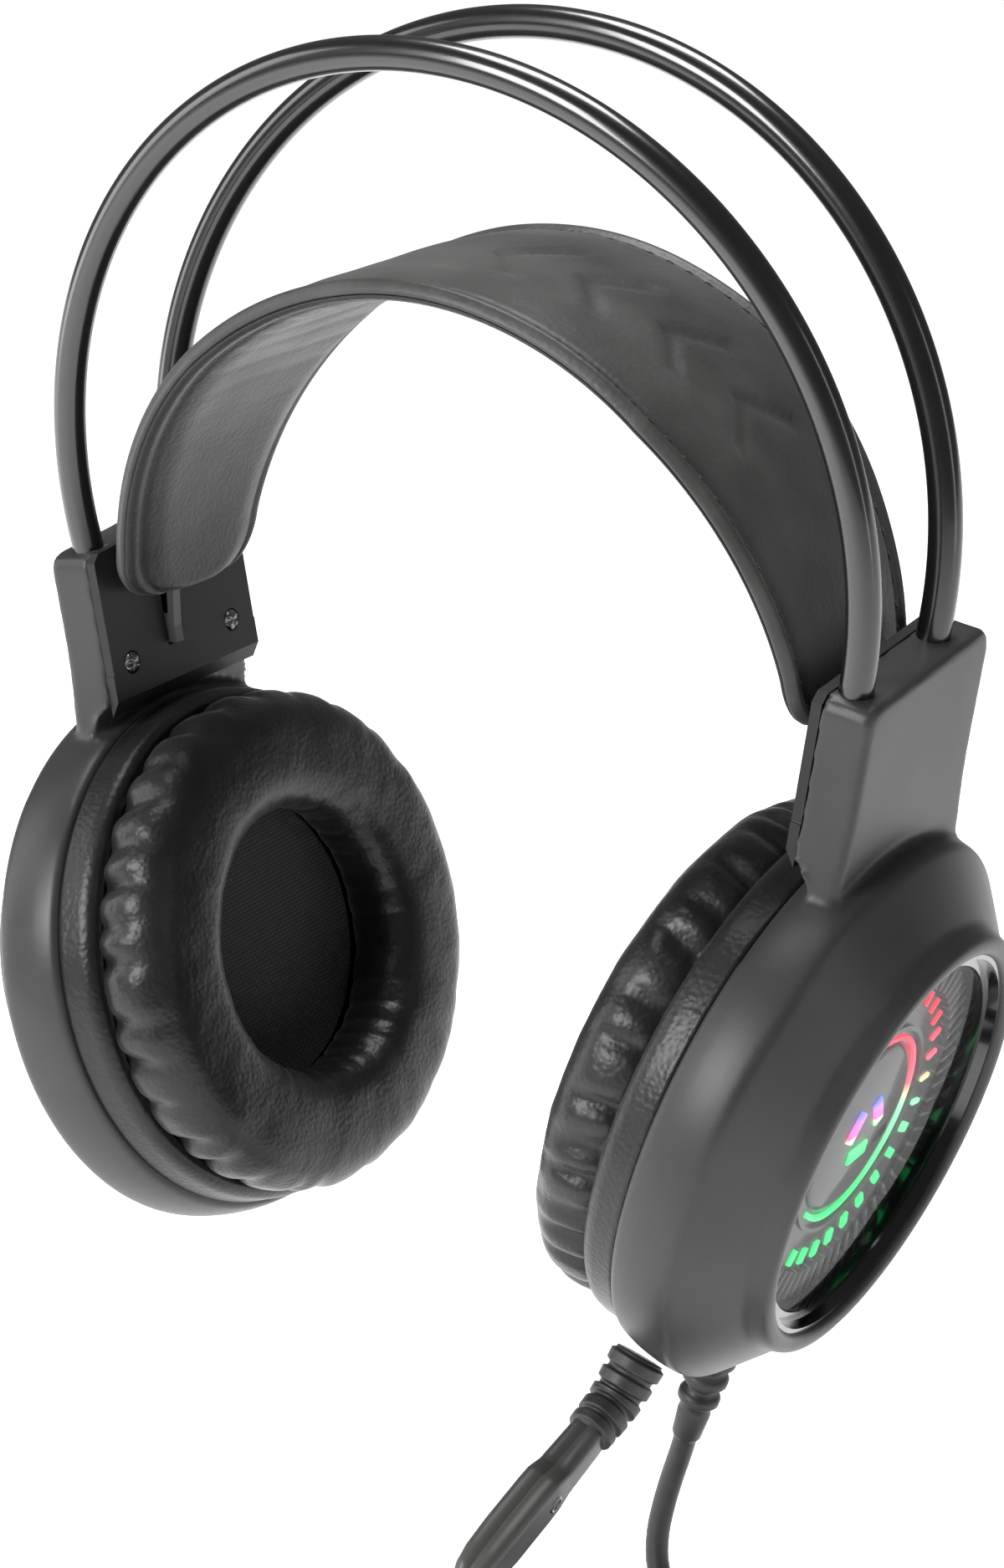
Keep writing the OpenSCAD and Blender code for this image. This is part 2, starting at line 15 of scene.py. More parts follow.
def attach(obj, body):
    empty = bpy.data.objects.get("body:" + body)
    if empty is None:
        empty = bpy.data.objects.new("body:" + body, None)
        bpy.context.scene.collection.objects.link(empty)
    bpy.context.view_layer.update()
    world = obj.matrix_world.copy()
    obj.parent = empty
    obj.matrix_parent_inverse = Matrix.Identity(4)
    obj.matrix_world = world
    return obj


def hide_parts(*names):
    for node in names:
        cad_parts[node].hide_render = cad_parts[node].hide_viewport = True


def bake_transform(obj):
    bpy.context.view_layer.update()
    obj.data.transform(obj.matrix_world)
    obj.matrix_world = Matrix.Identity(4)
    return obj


log = logging.getLogger("headset")

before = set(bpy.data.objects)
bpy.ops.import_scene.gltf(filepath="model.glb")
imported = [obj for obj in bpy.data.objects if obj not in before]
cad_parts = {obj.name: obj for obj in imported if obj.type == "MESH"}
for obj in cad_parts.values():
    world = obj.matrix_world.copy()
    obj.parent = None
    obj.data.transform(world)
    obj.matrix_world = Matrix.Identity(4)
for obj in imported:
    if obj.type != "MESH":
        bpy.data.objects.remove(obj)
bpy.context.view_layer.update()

MM = 0.001
Point = Sequence[float]
Shape = tuple[list[Vector], list[list[int]]]
Object = bpy.types.Object
Material = bpy.types.Material
Socket = bpy.types.NodeSocket


class Side(Enum):
    """Which ear a cup is worn on; the value is the sign of its x."""

    LEFT = 1
    RIGHT = -1


class Quality(Enum):
    """How long the cushion simulation runs; the value is its last frame."""

    DRAFT = 0
    FULL = 20


# ---------------------------------------------------------------- meshes


def clamp(value: float, low: float = 0.0, high: float = 1.0) -> float:
    """Returns value held between low and high."""
    return max(low, min(high, value))


def smoothstep(low: float, high: float, value: float) -> float:
    """Returns 0 below low, 1 above high, and an S-curve between."""
    t = clamp((value - low) / (high - low))
    return t * t * (3 - 2 * t)


def arc_points(cx: float, cy: float, r: float, a0: float, a1: float, n: int) -> list[tuple[float, float]]:
    """Points of a circular arc.

    Args:
        cx, cy: Centre, in mm.
        r: Radius, in mm.
        a0, a1: First and last angle, in degrees.
        n: Number of steps.

    Returns:
        The n + 1 points from a0 to a1.
    """
    angles = [math.radians(a0 + (a1 - a0) * i / n) for i in range(n + 1)]
    return [(cx + r * math.cos(a), cy + r * math.sin(a)) for a in angles]


def smooth_line(points: Sequence[Point], steps: int) -> list[Vector]:
    """A Catmull-Rom curve through points.

    Args:
        points: Points it passes through.
        steps: Steps between two neighbours.

    Returns:
        The points of the finer curve, with both ends.
    """
    p = [Vector(q) for q in points]
    p = [2 * p[0] - p[1], *p, 2 * p[-1] - p[-2]]
    out: list[Vector] = []
    for i in range(1, len(p) - 2):
        a, b, c, d = p[i - 1 : i + 3]
        for k in range(steps):
            t = k / steps
            out.append(
                0.5 * (2 * b + (c - a) * t + (2 * a - 5 * b + 4 * c - d) * t * t + (3 * b - a - 3 * c + d) * t**3)
            )
    out.append(p[-2])
    return out


def make_object(
    name: str, verts: Iterable[Point], faces: Iterable[Sequence[int]], matrix: Matrix | None = None
) -> Object:
    """A smooth-shaded mesh object with outward normals.

    Args:
        name: Name of the piece.
        verts: Points, in mm.
        faces: Lists of point numbers.
        matrix: Places the piece in the row frame, in metres after scaling.

    Returns:
        The linked object.
    """
    mesh = bpy.data.meshes.new(name)
    place = matrix or Matrix.Identity(4)
    mesh.from_pydata([tuple(place @ (Vector(v) * MM)) for v in verts], [], [tuple(f) for f in faces])
    tidy_mesh(mesh)
    obj = bpy.data.objects.new(name, mesh)
    bpy.context.scene.collection.objects.link(obj)
    return obj


def tidy_mesh(mesh: bpy.types.Mesh) -> None:
    """Joins doubled points, turns the faces outwards and shades them smooth."""
    work = bmesh.new()
    work.from_mesh(mesh)
    bmesh.ops.remove_doubles(work, verts=work.verts, dist=1e-6)
    bmesh.ops.recalc_face_normals(work, faces=work.faces)
    for f in work.faces:
        f.smooth = True
    work.to_mesh(mesh)
    work.free()
    mesh.update()


def lathe(profile: Sequence[tuple[float, float]], steps: int, closed: bool = True) -> Shape:
    """Turns a profile round the z axis.

    Args:
        profile: (radius, height) pairs, in mm.
        steps: Steps round the axis.
        closed: Whether the profile's last point joins its first.

    Returns:
        Points and faces.
    """
    verts = [
        Vector((r * math.cos(2 * math.pi * k / steps), r * math.sin(2 * math.pi * k / steps), z))
        for r, z in profile
        for k in range(steps)
    ]
    n = len(profile)
    faces = [
        [i * steps + k, i * steps + (k + 1) % steps, (i + 1) % n * steps + (k + 1) % steps, (i + 1) % n * steps + k]
        for i in range(n if closed else n - 1)
        for k in range(steps)
    ]
    return verts, faces


def loft(loops: Sequence[Sequence[Point]], caps: bool = True) -> Shape:
    """Skins a row of closed loops that have the same number of points.

    Args:
        loops: The loops, in mm.
        caps: Whether both ends are closed.

    Returns:
        Points and faces.
    """
    n = len(loops[0])
    verts = [Vector(p) for loop in loops for p in loop]
    faces = [
        [i * n + k, i * n + (k + 1) % n, (i + 1) * n + (k + 1) % n, (i + 1) * n + k]
        for i in range(len(loops) - 1)
        for k in range(n)
    ]
    if caps:
        faces += [list(range(n)), [(len(loops) - 1) * n + k for k in range(n)]]
    return verts, faces


def sweep(line: Sequence[Vector], radii: Sequence[float], sides: int, side: Point = (0, 1, 0)) -> Shape:
    """A round tube along a line.

    Args:
        line: Centreline, in mm.
        radii: Radius at each point, in mm.
        sides: Points round the tube.
        side: A direction that the line never runs along.

    Returns:
        Points and faces.
    """
    loops = []
    for i, (p, r) in enumerate(zip(line, radii)):
        ahead = (line[min(i + 1, len(line) - 1)] - line[max(i - 1, 0)]).normalized()
        u = ahead.cross(Vector(side)).normalized()
        v = ahead.cross(u)
        turns = [2 * math.pi * k / sides for k in range(sides)]
        loops.append([p + r * (math.cos(a) * u + math.sin(a) * v) for a in turns])
    return loft(loops)


def merge(parts: Sequence[Shape]) -> Shape:
    """Puts several sets of points and faces into one.

    Args:
        parts: Pairs of points and faces.

    Returns:
        All points and faces.
    """
    verts: list[Vector] = []
    faces: list[list[int]] = []
    for v, f in parts:
        faces += [[i + len(verts) for i in face] for face in f]
        verts += v
    return verts, faces


def settle(obj: Object) -> Object:
    """Applies every modifier of obj and shades the result smooth.

    Args:
        obj: The object to settle.

    Returns:
        The same object.
    """
    bpy.context.view_layer.update()
    graph = bpy.context.evaluated_depsgraph_get()
    mesh = bpy.data.meshes.new_from_object(obj.evaluated_get(graph))
    obj.modifiers.clear()
    obj.data = mesh
    for f in mesh.polygons:
        f.use_smooth = True
    return obj


def round_edges(obj: Object, width_mm: float, segments: int = 2, angle: float = 35) -> None:
    """Rounds the sharp edges of a piece or CAD node with a live bevel.

    Args:
        obj: The object.
        width_mm: Width of the rounding.
        segments: Steps across it.
        angle: Edges sharper than this, in degrees, are rounded.
    """
    bevel = obj.modifiers.new("rounded_edges", "BEVEL")
    bevel.width = width_mm * MM
    bevel.segments = segments
    bevel.limit_method = "ANGLE"
    bevel.angle_limit = math.radians(angle)
    bevel.harden_normals = True


def bevelled_bar(turn: Matrix, x: tuple[float, float], half: float, levels: Sequence[Point]) -> Shape:
    """A small upright bar with bevelled edges, turned about the z axis.

    Args:
        turn: Its rotation.
        x: Its inner and outer end, in mm.
        half: Half its width, in mm.
        levels: (height, inset) of each section, in mm.

    Returns:
        Points and faces.
    """
    loops = []
    for z, inset in levels:
        x0, x1, y = x[0] + inset, x[1] - inset, half - inset
        loops.append([turn @ Vector(p) for p in ((x0, -y, z), (x1, -y, z), (x1, y, z), (x0, y, z))])
    return loft(loops)


# ---------------------------------------------------------------- finishes


def linear(hex_colour: str) -> tuple[float, float, float, float]:
    """Turns an sRGB hex colour into linear RGBA.

    Args:
        hex_colour: A colour such as "#3a3a3a".

    Returns:
        Linear red, green, blue and an alpha of 1.
    """
    channels = [int(hex_colour[i : i + 2], 16) / 255 for i in (1, 3, 5)]
    r, g, b = (c / 12.92 if c <= 0.04045 else ((c + 0.055) / 1.055) ** 2.4 for c in channels)
    return (r, g, b, 1.0)


def add_node(
    material: Material, kind: str, inputs: dict[str | int, object] | None = None, **settings: object
) -> bpy.types.Node:
    """Adds one shader node with its settings, values and links.

    Args:
        material: The material it goes in.
        kind: Blender's node type.
        inputs: Value or source socket for each input, by name or number.
        settings: Attributes of the node.

    Returns:
        The new node.
    """
    node = material.node_tree.nodes.new(kind)
    for key, value in settings.items():
        setattr(node, key, value)
    for key, value in (inputs or {}).items():
        if isinstance(value, Socket):
            material.node_tree.links.new(value, node.inputs[key])
        else:
            node.inputs[key].default_value = value
    return node


def per_mm(size_mm: float) -> float:
    """Returns the texture scale, per metre, whose features are size_mm wide."""
    return 1 / (size_mm * MM)


def mixed(material: Material, factor: Socket, low: str, high: str) -> Socket:
    """Blends two colours.

    Args:
        material: The material.
        factor: 0 for low, 1 for high.
        low, high: sRGB hex colours.

    Returns:
        The colour socket.
    """
    node = add_node(material, "ShaderNodeMix", {0: factor, 6: linear(low), 7: linear(high)}, data_type="RGBA")
    return node.outputs[2]


def ranged(material: Material, value: Socket, a: float, b: float, c: float, d: float) -> Socket:
    """Maps value from the range a to b onto c to d.

    Args:
        material: The material.
        value: The socket to map.
        a, b: Range it comes from.
        c, d: Range it goes to.

    Returns:
        The mapped socket.
    """
    node = add_node(
        material,
        "ShaderNodeMapRange",
        {"Value": value, "From Min": a, "From Max": b, "To Min": c, "To Max": d},
    )
    return node.outputs[0]


@dataclass(frozen=True)
class Finish:
    """What every finish has: a name, a colour with its lighter variation, and a gloss."""

    name: str
    colour: str
    worn: str
    roughness: float

    def start(self) -> tuple[Material, bpy.types.Node, Socket]:
        """Makes the material with a shader and object coordinates.

        Returns:
            The material, its principled shader and the coordinate socket.
        """
        material = bpy.data.materials.new(self.name)
        material.use_nodes = True
        material.node_tree.nodes.clear()
        shader = add_node(material, "ShaderNodeBsdfPrincipled", {"Roughness": self.roughness})
        add_node(material, "ShaderNodeOutputMaterial", {"Surface": shader.outputs[0]})
        where = add_node(material, "ShaderNodeTexCoord")
        return material, shader, where.outputs["Object"]

    def noise(self, material: Material, where: Socket, size_mm: float, detail: float = 3) -> Socket:
        """Returns a noise value whose blobs are size_mm wide."""
        made = add_node(
            material, "ShaderNodeTexNoise", {"Vector": where, "Scale": per_mm(size_mm), "Detail": detail}
        )
        return made.outputs[0]

    def tint(self, material: Material, shader: bpy.types.Node, where: Socket, size_mm: float) -> None:
        """Links a slow change between the two colours, and a slight one in gloss."""
        cloud = self.noise(material, where, size_mm)
        link = material.node_tree.links.new
        share = ranged(material, cloud, 0.35, 0.7, 0, 1)
        link(mixed(material, share, self.colour, self.worn), shader.inputs["Base Color"])
        gloss = ranged(material, cloud, 0.3, 0.7, self.roughness * 0.92, self.roughness * 1.1)
        link(gloss, shader.inputs["Roughness"])

    def bump(self, material: Material, shader: bpy.types.Node, height: Socket, depth_mm: float) -> None:
        """Links a height to the shader's normal, depth_mm deep."""
        made = add_node(material, "ShaderNodeBump", {"Height": height, "Distance": depth_mm * MM, "Strength": 1.0})
        material.node_tree.links.new(made.outputs[0], shader.inputs["Normal"])


@dataclass(frozen=True)
class MouldedAbs(Finish):
    """ABS injection moulded in a spark-eroded tool: even, satin, with a very fine grain that softens highlights."""

    grain_mm: float = 0.35
    grain_depth_mm: float = 0.012

    def build(self) -> Material:
        """Returns the material. Real grain is about 0.1 mm; it is drawn at 0.35 mm so that it shows."""
        material, shader, where = self.start()
        self.tint(material, shader, where, 22)
        self.bump(material, shader, self.noise(material, where, self.grain_mm, 2), self.grain_depth_mm)
        shader.inputs["IOR"].default_value = 1.53
        shader.inputs["Specular IOR Level"].default_value = 0.32
        return material


@dataclass(frozen=True)
class PolishedAbs(Finish):
    """ABS moulded in a polished tool: black and mirror-like, with faint dust and flow unevenness."""

    def build(self) -> Material:
        """Returns the material."""
        material, shader, where = self.start()
        self.tint(material, shader, where, 14)
        self.bump(material, shader, self.noise(material, where, 9, 1), 0.03)
        shader.inputs["IOR"].default_value = 1.53
        shader.inputs["Coat Weight"].default_value = 0.5
        shader.inputs["Coat Roughness"].default_value = 0.05
        return material


@dataclass(frozen=True)
class CoatedSteel(Finish):
    """Spring steel wire dipped in black enamel: deep gloss and long narrow highlights with slight orange peel."""

    def build(self) -> Material:
        """Returns the material."""
        material, shader, where = self.start()
        self.tint(material, shader, where, 30)
        self.bump(material, shader, self.noise(material, where, 1.6, 1), 0.006)
        shader.inputs["IOR"].default_value = 1.5
        shader.inputs["Coat Weight"].default_value = 0.6
        shader.inputs["Coat Roughness"].default_value = 0.12
        return material


@dataclass(frozen=True)
class BareMetal(Finish):
    """Plated steel or aluminium, turned or pressed: bright, with fine scratches that spread its highlights."""

    def build(self) -> Material:
        """Returns the material."""
        material, shader, where = self.start()
        self.tint(material, shader, where, 3)
        self.bump(material, shader, self.noise(material, where, 0.3, 3), 0.008)
        shader.inputs["Metallic"].default_value = 1.0
        return material


@dataclass(frozen=True)
class Leatherette(Finish):
    """Polyurethane leather on a knit backing, embossed with small rounded pebbles: soft sheen on every crown."""

    pebble_mm: float = 0.9
    pebble_depth_mm: float = 0.07

    def build(self) -> Material:
        """Returns the material. Real pebbles are about 0.6 mm across; they are drawn a little larger to show."""
        material, shader, where = self.start()
        self.tint(material, shader, where, 12)
        cells = add_node(
            material,
            "ShaderNodeTexVoronoi",
            {"Vector": where, "Scale": per_mm(self.pebble_mm), "Randomness": 0.9},
            feature="SMOOTH_F1",
        )
        slow = self.noise(material, where, 4.5, 3)
        height = add_node(
            material,
            "ShaderNodeMath",
            {0: ranged(material, cells.outputs["Distance"], 0, 0.8, 1, 0), 1: slow},
            operation="ADD",
        )
        self.bump(material, shader, height.outputs[0], self.pebble_depth_mm)
        shader.inputs["IOR"].default_value = 1.48
        shader.inputs["Specular IOR Level"].default_value = 0.4
        shader.inputs["Sheen Weight"].default_value = 0.12
        shader.inputs["Sheen Roughness"].default_value = 0.4
        return material


@dataclass(frozen=True)
class SoftRubber(Finish):
    """Thermoplastic rubber, moulded and slightly blasted: matt, with a soft wide highlight and a little dust."""

    def build(self) -> Material:
        """Returns the material."""
        material, shader, where = self.start()
        self.tint(material, shader, where, 5)
        self.bump(material, shader, self.noise(material, where, 0.5, 3), 0.02)
        shader.inputs["IOR"].default_value = 1.5
        return material


@dataclass(frozen=True)
class WovenCloth(Finish):
    """Plain-woven polyester over foam or elastic: crossed threads that catch light one by one."""

    thread_mm: float = 0.7
    wave_ratio: float = 3.2

    def build(self) -> Material:
        """Returns the material. Real threads are about 0.3 mm apart; they are drawn wider so that they show."""
        material, shader, where = self.start()
        bands = [
            add_node(
                material,
                "ShaderNodeTexWave",
                {"Vector": where, "Scale": per_mm(self.thread_mm) / self.wave_ratio, "Distortion": 0.4, "Detail": 1},
                bands_direction=axis,
            ).outputs["Fac"]
            for axis in ("Y", "Z")
        ]
        weave = add_node(material, "ShaderNodeMath", {0: bands[0], 1: bands[1]}, operation="MULTIPLY").outputs[0]
        material.node_tree.links.new(mixed(material, weave, self.colour, self.worn), shader.inputs["Base Color"])
        self.bump(material, shader, weave, 0.12)
        shader.inputs["Sheen Weight"].default_value = 0.3
        return material


@dataclass(frozen=True)
class LitGuide(Finish):
    """Frosted acrylic light guide, lit from behind: it glows from green at the bottom of the face to red at its top."""

    low: str = "#18e070"
    low_z: float = -24.0
    high_z: float = 4.0
    power: float = 2.2

    def build(self) -> Material:
        """Returns the material."""
        material, shader, where = self.start()
        height = add_node(material, "ShaderNodeSeparateXYZ", {"Vector": where}).outputs["Z"]
        share = ranged(material, height, self.low_z * MM, self.high_z * MM, 0, 1)
        ramp = add_node(material, "ShaderNodeValToRGB", {"Fac": share})
        ramp.color_ramp.elements[0].color = linear(self.low)
        ramp.color_ramp.elements[1].color = linear(self.colour)
        for place, colour in ((0.42, "#8cffb0"), (0.58, self.worn)):
            ramp.color_ramp.elements.new(place).color = linear(colour)
        speckle = ranged(material, self.noise(material, where, 1.2, 2), 0.2, 0.8, 0.8, 1.15)
        lit = add_node(material, "ShaderNodeMath", {0: speckle, 1: self.power}, operation="MULTIPLY").outputs[0]
        link = material.node_tree.links.new
        link(ramp.outputs[0], shader.inputs["Base Color"])
        link(ramp.outputs[0], shader.inputs["Emission Color"])
        link(lit, shader.inputs["Emission Strength"])
        return material


@dataclass(frozen=True)
class ClearAcrylic(Finish):
    """Cast acrylic, polished: clear, with a sharp pale reflection of whatever is above it."""

    opacity: float = 0.2

    def build(self) -> Material:
        """Returns the material. The sheet is so thin that it is drawn as a mostly open surface with a full gloss."""
        material, shader, where = self.start()
        self.bump(material, shader, self.noise(material, where, 20, 1), 0.02)
        shader.inputs["Base Color"].default_value = linear(self.colour)
        shader.inputs["IOR"].default_value = 1.49
        shader.inputs["Alpha"].default_value = self.opacity
        return material


FINISHES: dict[str, Finish] = {
    "shell": MouldedAbs("satin_moulded_abs", "#2e2e2e", "#363636", 0.4),
    "arm_inner": MouldedAbs("black_moulded_abs", "#141414", "#1b1b1b", 0.5),
    "boom": MouldedAbs("boom_moulded_abs", "#40403f", "#4b4b4a", 0.38),
    "gloss": PolishedAbs("polished_black_abs", "#050505", "#090909", 0.14),
    "spokes": PolishedAbs("polished_spoke_abs", "#101011", "#19191b", 0.3),
    # The fins' light grey is a painted highlight: it stands in for the light their tops catch under the clear cover.
    "fins": PolishedAbs("fin_tops_painted_highlight_abs", "#5c5c5e", "#6c6c6e", 0.3),
    "plate": PolishedAbs("polished_grey_plate", "#3c3c40", "#4a4a4e", 0.3),
    "wire": CoatedSteel("black_enamelled_wire", "#0b0b0b", "#121212", 0.25),
    "screw": BareMetal("zinc_plated_steel", "#7a7a78", "#8c8c8a", 0.35),
    "nickel": BareMetal("nickel_plated_steel", "#b9b7b0", "#cac8c2", 0.22),
    "cushion": Leatherette("black_leatherette", "#121213", "#1b1b1c", 0.38),
    "strap_top": Leatherette("grey_leatherette", "#333332", "#3f3f3e", 0.44, 1.0, 0.05),
    "strap_under": Leatherette("dark_leatherette", "#181818", "#212121", 0.46),
    "thread": WovenCloth("bonded_thread", "#202020", "#3a3a3a", 0.7, 0.5),
    "rubber": SoftRubber("black_soft_rubber", "#222221", "#2e2e2d", 0.5),
    "jacket": SoftRubber("pvc_cord_jacket", "#272726", "#323231", 0.46),
    "cloth": WovenCloth("speaker_cloth", "#161616", "#363636", 0.9),
    "tie": WovenCloth("hook_and_loop_tape", "#0d0d0d", "#2c2c2c", 0.95, 0.9),
    "lights": LitGuide("lit_acrylic_guide", "#ff2440", "#ff5c70", 0.35),
    "clear": ClearAcrylic("clear_acrylic", "#0c0c0d", "#0c0c0d", 0.04),
    "mark": LitGuide(
        "lit_centre_mark", "#6f7cff", "#ff5f9a", 0.35, low="#2ee070", low_z=-14.0, high_z=-5.0, power=2.4
    ),
    # The slider's grey is a painted highlight: it stands in for the light line that the edge in the arm's slot catches.
    "acetal": MouldedAbs("acetal_painted_highlight_grey", "#4a4a48", "#585856", 0.4),
    "board": PolishedAbs("solder_masked_board", "#0d3a1e", "#124a28", 0.35),
    "film": PolishedAbs("amber_film", "#7a5f2a", "#8c7038", 0.3),
    "white": PolishedAbs("white_nylon", "#c8c8c4", "#d8d8d4", 0.4),
}


@dataclass
class Paints:
    """Keeps one built material for each finish."""

    built: dict[str, Material] = field(default_factory=dict)

    def get(self, name: str) -> Material:
        """Returns the material of a finish, building it the first time."""
        if name not in self.built:
            self.built[name] = FINISHES[name].build()
        return self.built[name]

    def dress(self, obj: Object, name: str) -> Object:
        """Gives obj one finish.

        Args:
            obj: A piece or a CAD node.
            name: The finish.

        Returns:
            The same object.
        """
        obj.data.materials.clear()
        obj.data.materials.append(self.get(name))
        return obj


PAINTS = Paints()

NODE_FINISH: dict[str, str] = {
    "crossover_cable": "jacket",
    "slider": "acetal",
    "strap_elastic": "tie",
    "arm_cover": "arm_inner",
    "band_set_screws": "screw",
    "cup_screws": "screw",
    "light_bezel": "gloss",
    "spoke_disc": "spokes",
    "light_ring": "lights",
    "light_cover": "clear",
    "led_board": "board",
    "leds": "white",
    "baffle": "arm_inner",
    "driver_frame": "arm_inner",
    "driver_magnet": "screw",
    "diaphragm": "film",
    "speaker_cloth": "cloth",
    "cushion_ring": "arm_inner",
    "control_board": "board",
    "mic_capsule": "nickel",
    "usb_plug_shell": "nickel",
    "usb_plug_tongue": "white",
}


def finish_piece(obj: Object, body: str, paint: str, nodes: Sequence[str] = ()) -> Object:
    """Dresses a piece, puts it on its body and logs it.

    Args:
        obj: The piece.
        body: CAD body that it moves with.
        paint: Its finish.
        nodes: CAD nodes that it stands for.

    Returns:
        The same object.
    """
    PAINTS.dress(obj, paint)
    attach(obj, body)
    if nodes:
        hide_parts(*nodes)
    log.info("%s: %d points, on %s", obj.name, len(getattr(obj.data, "vertices", [])), body)
    return obj


# ---------------------------------------------------------------- cups


@dataclass
class CupFrame:
    """Where a cup and its arm are: x runs to the rear, y up the cup and z outwards."""

    out: float = 56.6
    height: float = -5.0
    tilt: float = 16.0
    arm_y: float = 50.0
    arm_z: float = 2.0
    arm_turn: float = 7.0

    def cup(self, side: Side) -> Matrix:
        """Returns the matrix that puts a cup-frame mesh, in metres, on its side."""
        left = (
            Matrix.Translation((self.out * MM, 0, self.height * MM))
            @ Matrix.Rotation(math.radians(self.tilt), 4, "Y")
            @ Matrix.Rotation(math.radians(90), 4, "Z")
            @ Matrix.Rotation(math.radians(90), 4, "X")
        )
        return Matrix.Scale(side.value, 4, (1, 0, 0)) @ left

    def arm(self, unit: float = 1.0) -> Matrix:
        """Returns the arm's frame inside the cup's frame, in mm, or in metres where unit is MM."""
        turn = Matrix.Rotation(math.radians(-self.arm_turn), 4, "X")
        return Matrix.Translation((0, self.arm_y * unit, self.arm_z * unit)) @ turn


CUPS = CupFrame()


@dataclass
class CupHousing:
    """Moulded shell of one cup with its arm, in one smooth skin."""

    seam_r: float = 48.0
    belly_r: float = 50.2
    lip_r: float = 37.6
    face_r: float = 35.4
    depth: float = 24.0
    arm_top: float = 30.5
    arm_w: float = 41.0
    arm_x: float = 3.0
    arm_s0: float = -3.5
    arm_s1: float = 5.3
    voxel: float = 0.62

    def shell(self) -> Shape:
        """Returns the turned cup with its belly, bevel, rounded lip and recess."""
        belly = [(self.seam_r + 0.1, -0.15), (48.7, 0.3), (49.2, 1.8), (49.65, 3.6), (49.95, 5.6)]
        belly += [(50.15, 7.8), (self.belly_r - 0.05, 10.2)]
        slope = [(49.95, 11.3), (49.5, 12.0), (46.4, 14.7), (43.0, 17.6), (39.8, 20.3)]
        lip = arc_points(self.lip_r - 0.5, self.depth - 1.9, 1.9, 25, 165, 9)
        inside = [
            (self.face_r, self.depth - 3), (self.face_r, 16.6), (32.2, 16.6), (32.2, 14.6),
            (36.6, 14.4), (46.6, 10.6), (47.2, 6.0), (46.0, -0.15),
        ]
        return lathe(belly + slope + lip + inside, 240)

    def outline(self, inset: float, flare: float) -> list[tuple[float, float]]:
        """Returns the arm's outline, seen along the cup's axis, drawn in by inset, with a foot that widens by flare."""
        w, top = self.arm_w / 2 - inset, self.arm_top
        rear = top - 1.5 - inset
        points = [(-w, rear - 2.4), (-w + 0.7, rear - 0.8), (-w + 2.4, rear)]
        points += arc_points(w - 4, top + 1.5 - inset - 4, 4, 92, 0, 7)
        foot = [(w + flare * (k / 12) ** 2, 14 - 23 * k / 12) for k in range(13)]
        points += foot + [(-x, y) for x, y in reversed(foot)]
        return [(x + self.arm_x, y) for x, y in points]

    def arm(self) -> Shape:
        """Returns the arm as a rounded slab whose foot slopes back to the seam."""
        levels = [(s, 0.0) for s in (self.arm_s0, -1.6, 0.2, 2.2, 4.2)]
        levels += [(4.7, 0.15), (5.05, 0.5), (self.arm_s1, 1.2)]
        place = CUPS.arm()
        loops = []
        for s, inset in levels:
            loop = []
            for x, y in self.outline(inset, 3.0):
                low = 1.2 - 7.5 * smoothstep(-3.0, 2.6, s)
                loop.append(place @ Vector((x, max(y, low) if s < 2.0 else y, s)))
            loops.append(loop)
        return loft(loops)

    def hollow(self) -> Shape:
        """Returns the space inside the arm that the slider runs in."""
        place = CUPS.arm()
        box = [(-6.4, 3), (6.4, 3), (6.4, 28.4), (-6.4, 28.4)]
        return loft([[place @ Vector((x, y, s)) for x, y in box] for s in (-8.0, 3.3)])

    def build(self, side: Side) -> Object:
        """Makes one housing: arm less its hollow, joined to the shell, skinned and filleted.

        Args:
            side: Which cup.

        Returns:
            The finished piece.
        """
        name = f"cup_housing_{side.name.lower()}"
        arm = make_object(name, *self.arm())
        cutter = make_object("slider_space", *self.hollow())
        cut = arm.modifiers.new("cut", "BOOLEAN")
        cut.object, cut.operation, cut.solver = cutter, "DIFFERENCE", "EXACT"
        settle(arm)
        bpy.data.objects.remove(cutter)
        work = bmesh.new()
        work.from_mesh(arm.data)
        shell = bpy.data.meshes.new("shell")
        shell.from_pydata([tuple(v * MM) for v in self.shell()[0]], [], self.shell()[1])
        tidy_mesh(shell)
        work.from_mesh(shell)
        work.to_mesh(arm.data)
        work.free()
        skin = arm.modifiers.new("skin", "REMESH")
        skin.mode, skin.voxel_size, skin.use_smooth_shade = "VOXEL", self.voxel * MM, True
        settle(arm)
        self.fillet(arm)
        arm.data.transform(CUPS.cup(side))
        if side is Side.RIGHT:
            arm.data.flip_normals()
        node = f"housing_{side.name.lower()}"
        return finish_piece(arm, "headset", "shell", [node])

    def fillet(self, obj: Object) -> None:
        """Evens the skin everywhere, and melts the corner where the arm grows out of the cup.

        Args:
            obj: The housing, in the cup's frame.
        """
        group = obj.vertex_groups.new(name="joint")
        for v in obj.data.vertices:
            x, y, s = v.co / MM
            if y > 30 and abs(x - self.arm_x) < 34 and s > -3:
                near = abs(math.hypot(x, y) - 49.5) + max(0, s - 9) * 0.7
                group.add([v.index], clamp(1.0 - near / 5), "REPLACE")
        melt = obj.modifiers.new("melt", "SMOOTH")
        melt.vertex_group, melt.iterations, melt.factor = "joint", 20, 0.5
        even = obj.modifiers.new("even", "SMOOTH")
        even.iterations, even.factor = 2, 0.5
        settle(obj)
        obj.vertex_groups.clear()


